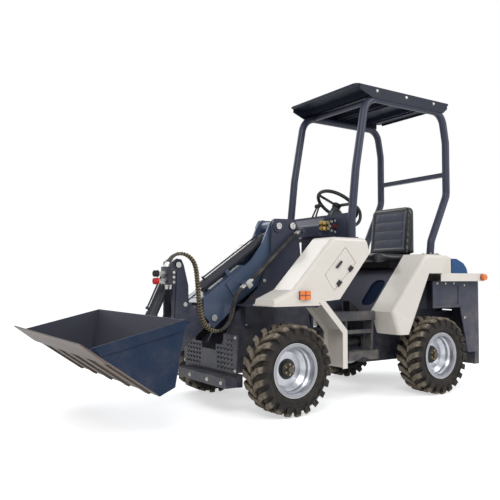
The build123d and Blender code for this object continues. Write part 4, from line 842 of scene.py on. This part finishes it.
# dash: round pod, ring of bolts with its knob, brass fittings, grab handle
dashLook = {
    "pod": (-745, 140, 1330.3), "podRadius": 0.055, "podSegments": 28, "podRings": 14, "podFoot": 0.004,
    "podScale": (1.0, 1.0, 1.5),
    "ring": (-672, 200.3, 1267), "ringRadius": 0.044, "ringCount": 7, "boltSize": 0.95, "knobSize": 0.70,
    "fittings": [(x, 200.3, z) for x in (-538, -578) for z in (1245, 1285)], "fittingSize": 1.2,
    "handle": (-706, 370, 1338), "handleReach": 0.072, "handleTube": 0.012, "handleSteps": 40, "tubeSides": 12,
}
deselectAll()
bpy.ops.mesh.primitive_uv_sphere_add(segments=dashLook["podSegments"], ring_count=dashLook["podRings"],
                                     radius=dashLook["podRadius"])
pod = bpy.context.object
chooseAll(pod)
bpy.ops.mesh.bisect(plane_co=(0, 0, dashLook["podFoot"]), plane_no=(0, 0, 1), use_fill=True, clear_inner=True)
bpy.ops.object.mode_set(mode="OBJECT")
chooseParts(pod, "FACE", lambda face: face.normal.z < -facing)
bpy.ops.mesh.extrude_region_move(TRANSFORM_OT_translate={"value": (0, 0, -dashLook["podFoot"])})
bpy.ops.object.mode_set(mode="OBJECT")
pod.location = spot(*dashLook["pod"])
pod.scale = dashLook["podScale"]
finishPiece(settle(pod), "dashPod", "rear_frame", finishes["control_plastic"])
bolts = []
for turn in turns(dashLook["ringCount"]):
    out = Vector((math.cos(turn), 0, math.sin(turn))) * dashLook["ringRadius"]
    bolts.append(copyStud("bolt", spot(*dashLook["ring"]) + out, ways["side"], dashLook["boltSize"]))
joinPieces("dashBolts", bolts, "rear_frame", trimFinish["boltZinc"])
knob = copyStud("cap", spot(*dashLook["ring"]), ways["side"], dashLook["knobSize"])
joinPieces("dashKnob", [knob], "rear_frame", trimFinish["knobRed"])
fittings = [copyStud("ferrule", spot(*p), ways["side"], dashLook["fittingSize"]) for p in dashLook["fittings"]]
joinPieces("dashFittings", fittings, "rear_frame", trimFinish["fittingBrass"])
deselectAll()
bpy.ops.mesh.primitive_torus_add(major_segments=dashLook["handleSteps"], minor_segments=dashLook["tubeSides"],
                                 major_radius=dashLook["handleReach"], minor_radius=dashLook["handleTube"],
                                 rotation=(math.pi / 2, 0, 0))
handle = settle(bpy.context.object)
chooseAll(handle)
bpy.ops.mesh.bisect(plane_co=(0, 0, 0), plane_no=(1, 0, 0), use_fill=True, clear_outer=True)
bpy.ops.object.mode_set(mode="OBJECT")
handle.location = spot(*dashLook["handle"])
finishPiece(settle(handle), "dashHandle", "rear_frame", finishes["control_plastic"])
print("dash fitted")


# seat pads: swollen by cloth between the rows of stitching that hold them
padLook = {
    "seat_cushion": {"low": (-1492, -226, 1000.8), "high": (-1105, 226, 1073), "corner": 0.045, "corners": 2,
                     "lean": 0.0, "limit": 0.010, "pressure": 6.0,
                     "rowEnd": 0.205, "rows": (-1.150, -1.227, -1.304, -1.381, -1.458)},
    "seat_backrest": {"low": (-1526.4, -214, 1085.8), "high": (-1440, 214, 1468), "corner": 0.048, "corners": 0,
                      "lean": -0.043, "limit": 0.019, "pressure": 18.0,
                      "side": 0.168, "bottom": 1.126, "top": 1.434, "border": (0.165,), "ends": (1.129, 1.431)},
}
padMake = {"stitch": 0.0042, "facing": 0.6, "cornerSteps": 6, "voxel": 0.006, "smooth": 0.4, "smoothings": 2}
clothSteps = 20
clothLook = {"quality": 5, "use_pressure": True, "tension_stiffness": 5.0, "compression_stiffness": 5.0,
             "shear_stiffness": 3.0, "bending_stiffness": 0.2, "vertex_group_mass": "sewn"}


def near(value, rows):
    return any(abs(value - row) < padMake["stitch"] for row in rows)


def cushionHeld(dot):
    look = padLook["seat_cushion"]
    x, y = (dot.co - spot(0, 0, 0)).xy
    rows = abs(y) < look["rowEnd"] and near(x, look["rows"])
    return dot.normal.z < -padMake["facing"] or (dot.normal.z > padMake["facing"] and rows)


def backHeld(dot):
    look = padLook["seat_backrest"]
    y, z = (dot.co - spot(0, 0, 0)).yz
    inside = abs(y) < look["side"] and look["bottom"] < z < look["top"]
    sewn = inside and (near(abs(y), look["border"]) or near(z, look["ends"]) or near(z, vinylLook["seams"]))
    return dot.normal.x < -padMake["facing"] or (dot.normal.x > padMake["facing"] and sewn)


# cloth pushed out from inside, held at the stitching and stopped at a limit
def swell(pad, look, held):
    before = [dot.co.copy() for dot in pad.data.vertices]
    sewn = pad.vertex_groups.new(name="sewn")
    sewn.add([dot.index for dot in pad.data.vertices if held(dot)], 1.0, "REPLACE")
    cloth = pad.modifiers.new("swell", "CLOTH")
    for key, value in clothLook.items():
        setattr(cloth.settings, key, value)
    cloth.settings.uniform_pressure_force = look["pressure"]
    cloth.settings.effector_weights.gravity = 0.0
    cloth.point_cache.frame_start = 1
    cloth.point_cache.frame_end = clothSteps
    for step in range(1, clothSteps + 1):
        scene.frame_set(step)
    bpy.ops.object.modifier_apply(modifier="swell")
    for dot, start in zip(pad.data.vertices, before):
        move = dot.co - start
        if move.length > look["limit"]:
            dot.co = start + move * look["limit"] / move.length
    scene.frame_set(1)
    pad.vertex_groups.clear()


def makePad(node, held):
    look = padLook[node]
    pad = makeBox(spot(*look["low"]), spot(*look["high"]))
    dots = pad.data.vertices
    top = max(dot.co.z for dot in dots)
    if look["lean"]:
        chooseParts(pad, "EDGE", topFront(pad))
        bpy.ops.transform.translate(value=(look["lean"], 0, 0))
        bpy.ops.object.mode_set(mode="OBJECT")
    along = upright(pad, look["corners"])
    chooseParts(pad, "EDGE", lambda edge: along(edge) and (not look["lean"]
                                                           or dots[edge.vertices[0]].co.z > top - touch))
    bpy.ops.mesh.bevel(offset=look["corner"], segments=padMake["cornerSteps"], affect="EDGES")
    bpy.ops.object.mode_set(mode="OBJECT")
    pad.data.remesh_voxel_size = padMake["voxel"]
    bpy.ops.object.voxel_remesh()
    swell(pad, look, held)
    addModifier(pad, "SMOOTH", factor=padMake["smooth"], iterations=padMake["smoothings"])
    addModifier(pad, "SUBSURF", levels=1, render_levels=1)
    bpy.ops.object.shade_smooth()
    pad.name = node + "_pad"
    pad.data.materials.clear()
    pad.data.materials.append(finishes["seat_vinyl"])
    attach(pad, "rear_frame")
    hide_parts(node)


makePad("seat_cushion", cushionHeld)
makePad("seat_backrest", backHeld)
print("seat padded")

# the studs and rings that the copies were made from
for pattern in list(studs.values()) + ribs:
    bpy.data.objects.remove(pattern)


# camera where the photograph was taken from
cameraLook = {"place": (2.39 + shiftX, 3.69, 0.88), "turn": 56.6, "up": 2.6, "lens": 44.06, "sensor": 36}
turn = math.radians(cameraLook["turn"])
up = math.radians(cameraLook["up"])
gaze = Vector((-math.cos(turn) * math.cos(up), -math.sin(turn) * math.cos(up), math.sin(up)))
bpy.ops.object.camera_add(location=cameraLook["place"], rotation=gaze.to_track_quat("-Z", "Y").to_euler())
camera = bpy.context.object
camera.data.lens = cameraLook["lens"]
camera.data.sensor_width = cameraLook["sensor"]
scene.camera = camera


# what the camera, gloss and clear things see
def seenRays(start):
    return [start.node("ShaderNodeLightPath", {}, {}, output) for output in (0, 3, 6)]


# pale floor that keeps the shadow
floorLook = {"size": 60, "z": -0.001, "base": (0.86, 0.86, 0.86), "rough": 0.9, "dark": (0, 0, 0),
             "glow": (0.55, 0.55, 0.55), "strength": 1.0}
deselectAll()
bpy.ops.mesh.primitive_plane_add(size=floorLook["size"], location=(0, 0, floorLook["z"]))
floor = bpy.context.object
floor.name = "paleFloor"
floorFinish, floorStart, floorJoin = newFinish("paleFloor", {"Base Color": colour(floorLook["base"]),
                                                             "Roughness": floorLook["rough"],
                                                             "Emission Strength": floorLook["strength"]})
seen, glossy, through = seenRays(floorStart)
floorJoin("Emission Color", (seen + glossy + through).clipped().mixed(floorLook["dark"], floorLook["glow"]))
floor.data.materials.append(floorFinish)

# soft studio light with a white backdrop for what the camera and gloss see
skyLook = {"light": (0.55, 0.57, 0.60), "white": (1.0, 1.0, 1.0), "gloss": 0.45}
world = bpy.data.worlds.new("studio")
scene.world = world
world.use_nodes = True
seen, glossy, through = seenRays(Wire(world.node_tree))
sky = (seen + glossy * skyLook["gloss"] + through).clipped().mixed(skyLook["light"], skyLook["white"])
world.node_tree.links.new(sky.socket, world.node_tree.nodes["Background"].inputs["Color"])

lampLook = [
    {"place": (3.5, 4.5, 5.0), "size": 3.0, "power": 190.0, "aim": (0.2, 0, 0.8)},
    {"place": (-3.5, 4.0, 4.0), "size": 3.0, "power": 105.0, "aim": (0, 0, 0.8)},
    {"place": (1.0, -5.0, 4.5), "size": 3.0, "power": 90.0, "aim": (0, 0, 0.8)},
]
for look in lampLook:
    place = Vector(look["place"])
    aim = (Vector(look["aim"]) - place).to_track_quat("-Z", "Y").to_euler()
    bpy.ops.object.light_add(type="AREA", location=place, rotation=aim)
    bpy.context.object.data.size = look["size"]
    bpy.context.object.data.energy = look["power"]
print("camera, floor and light set")
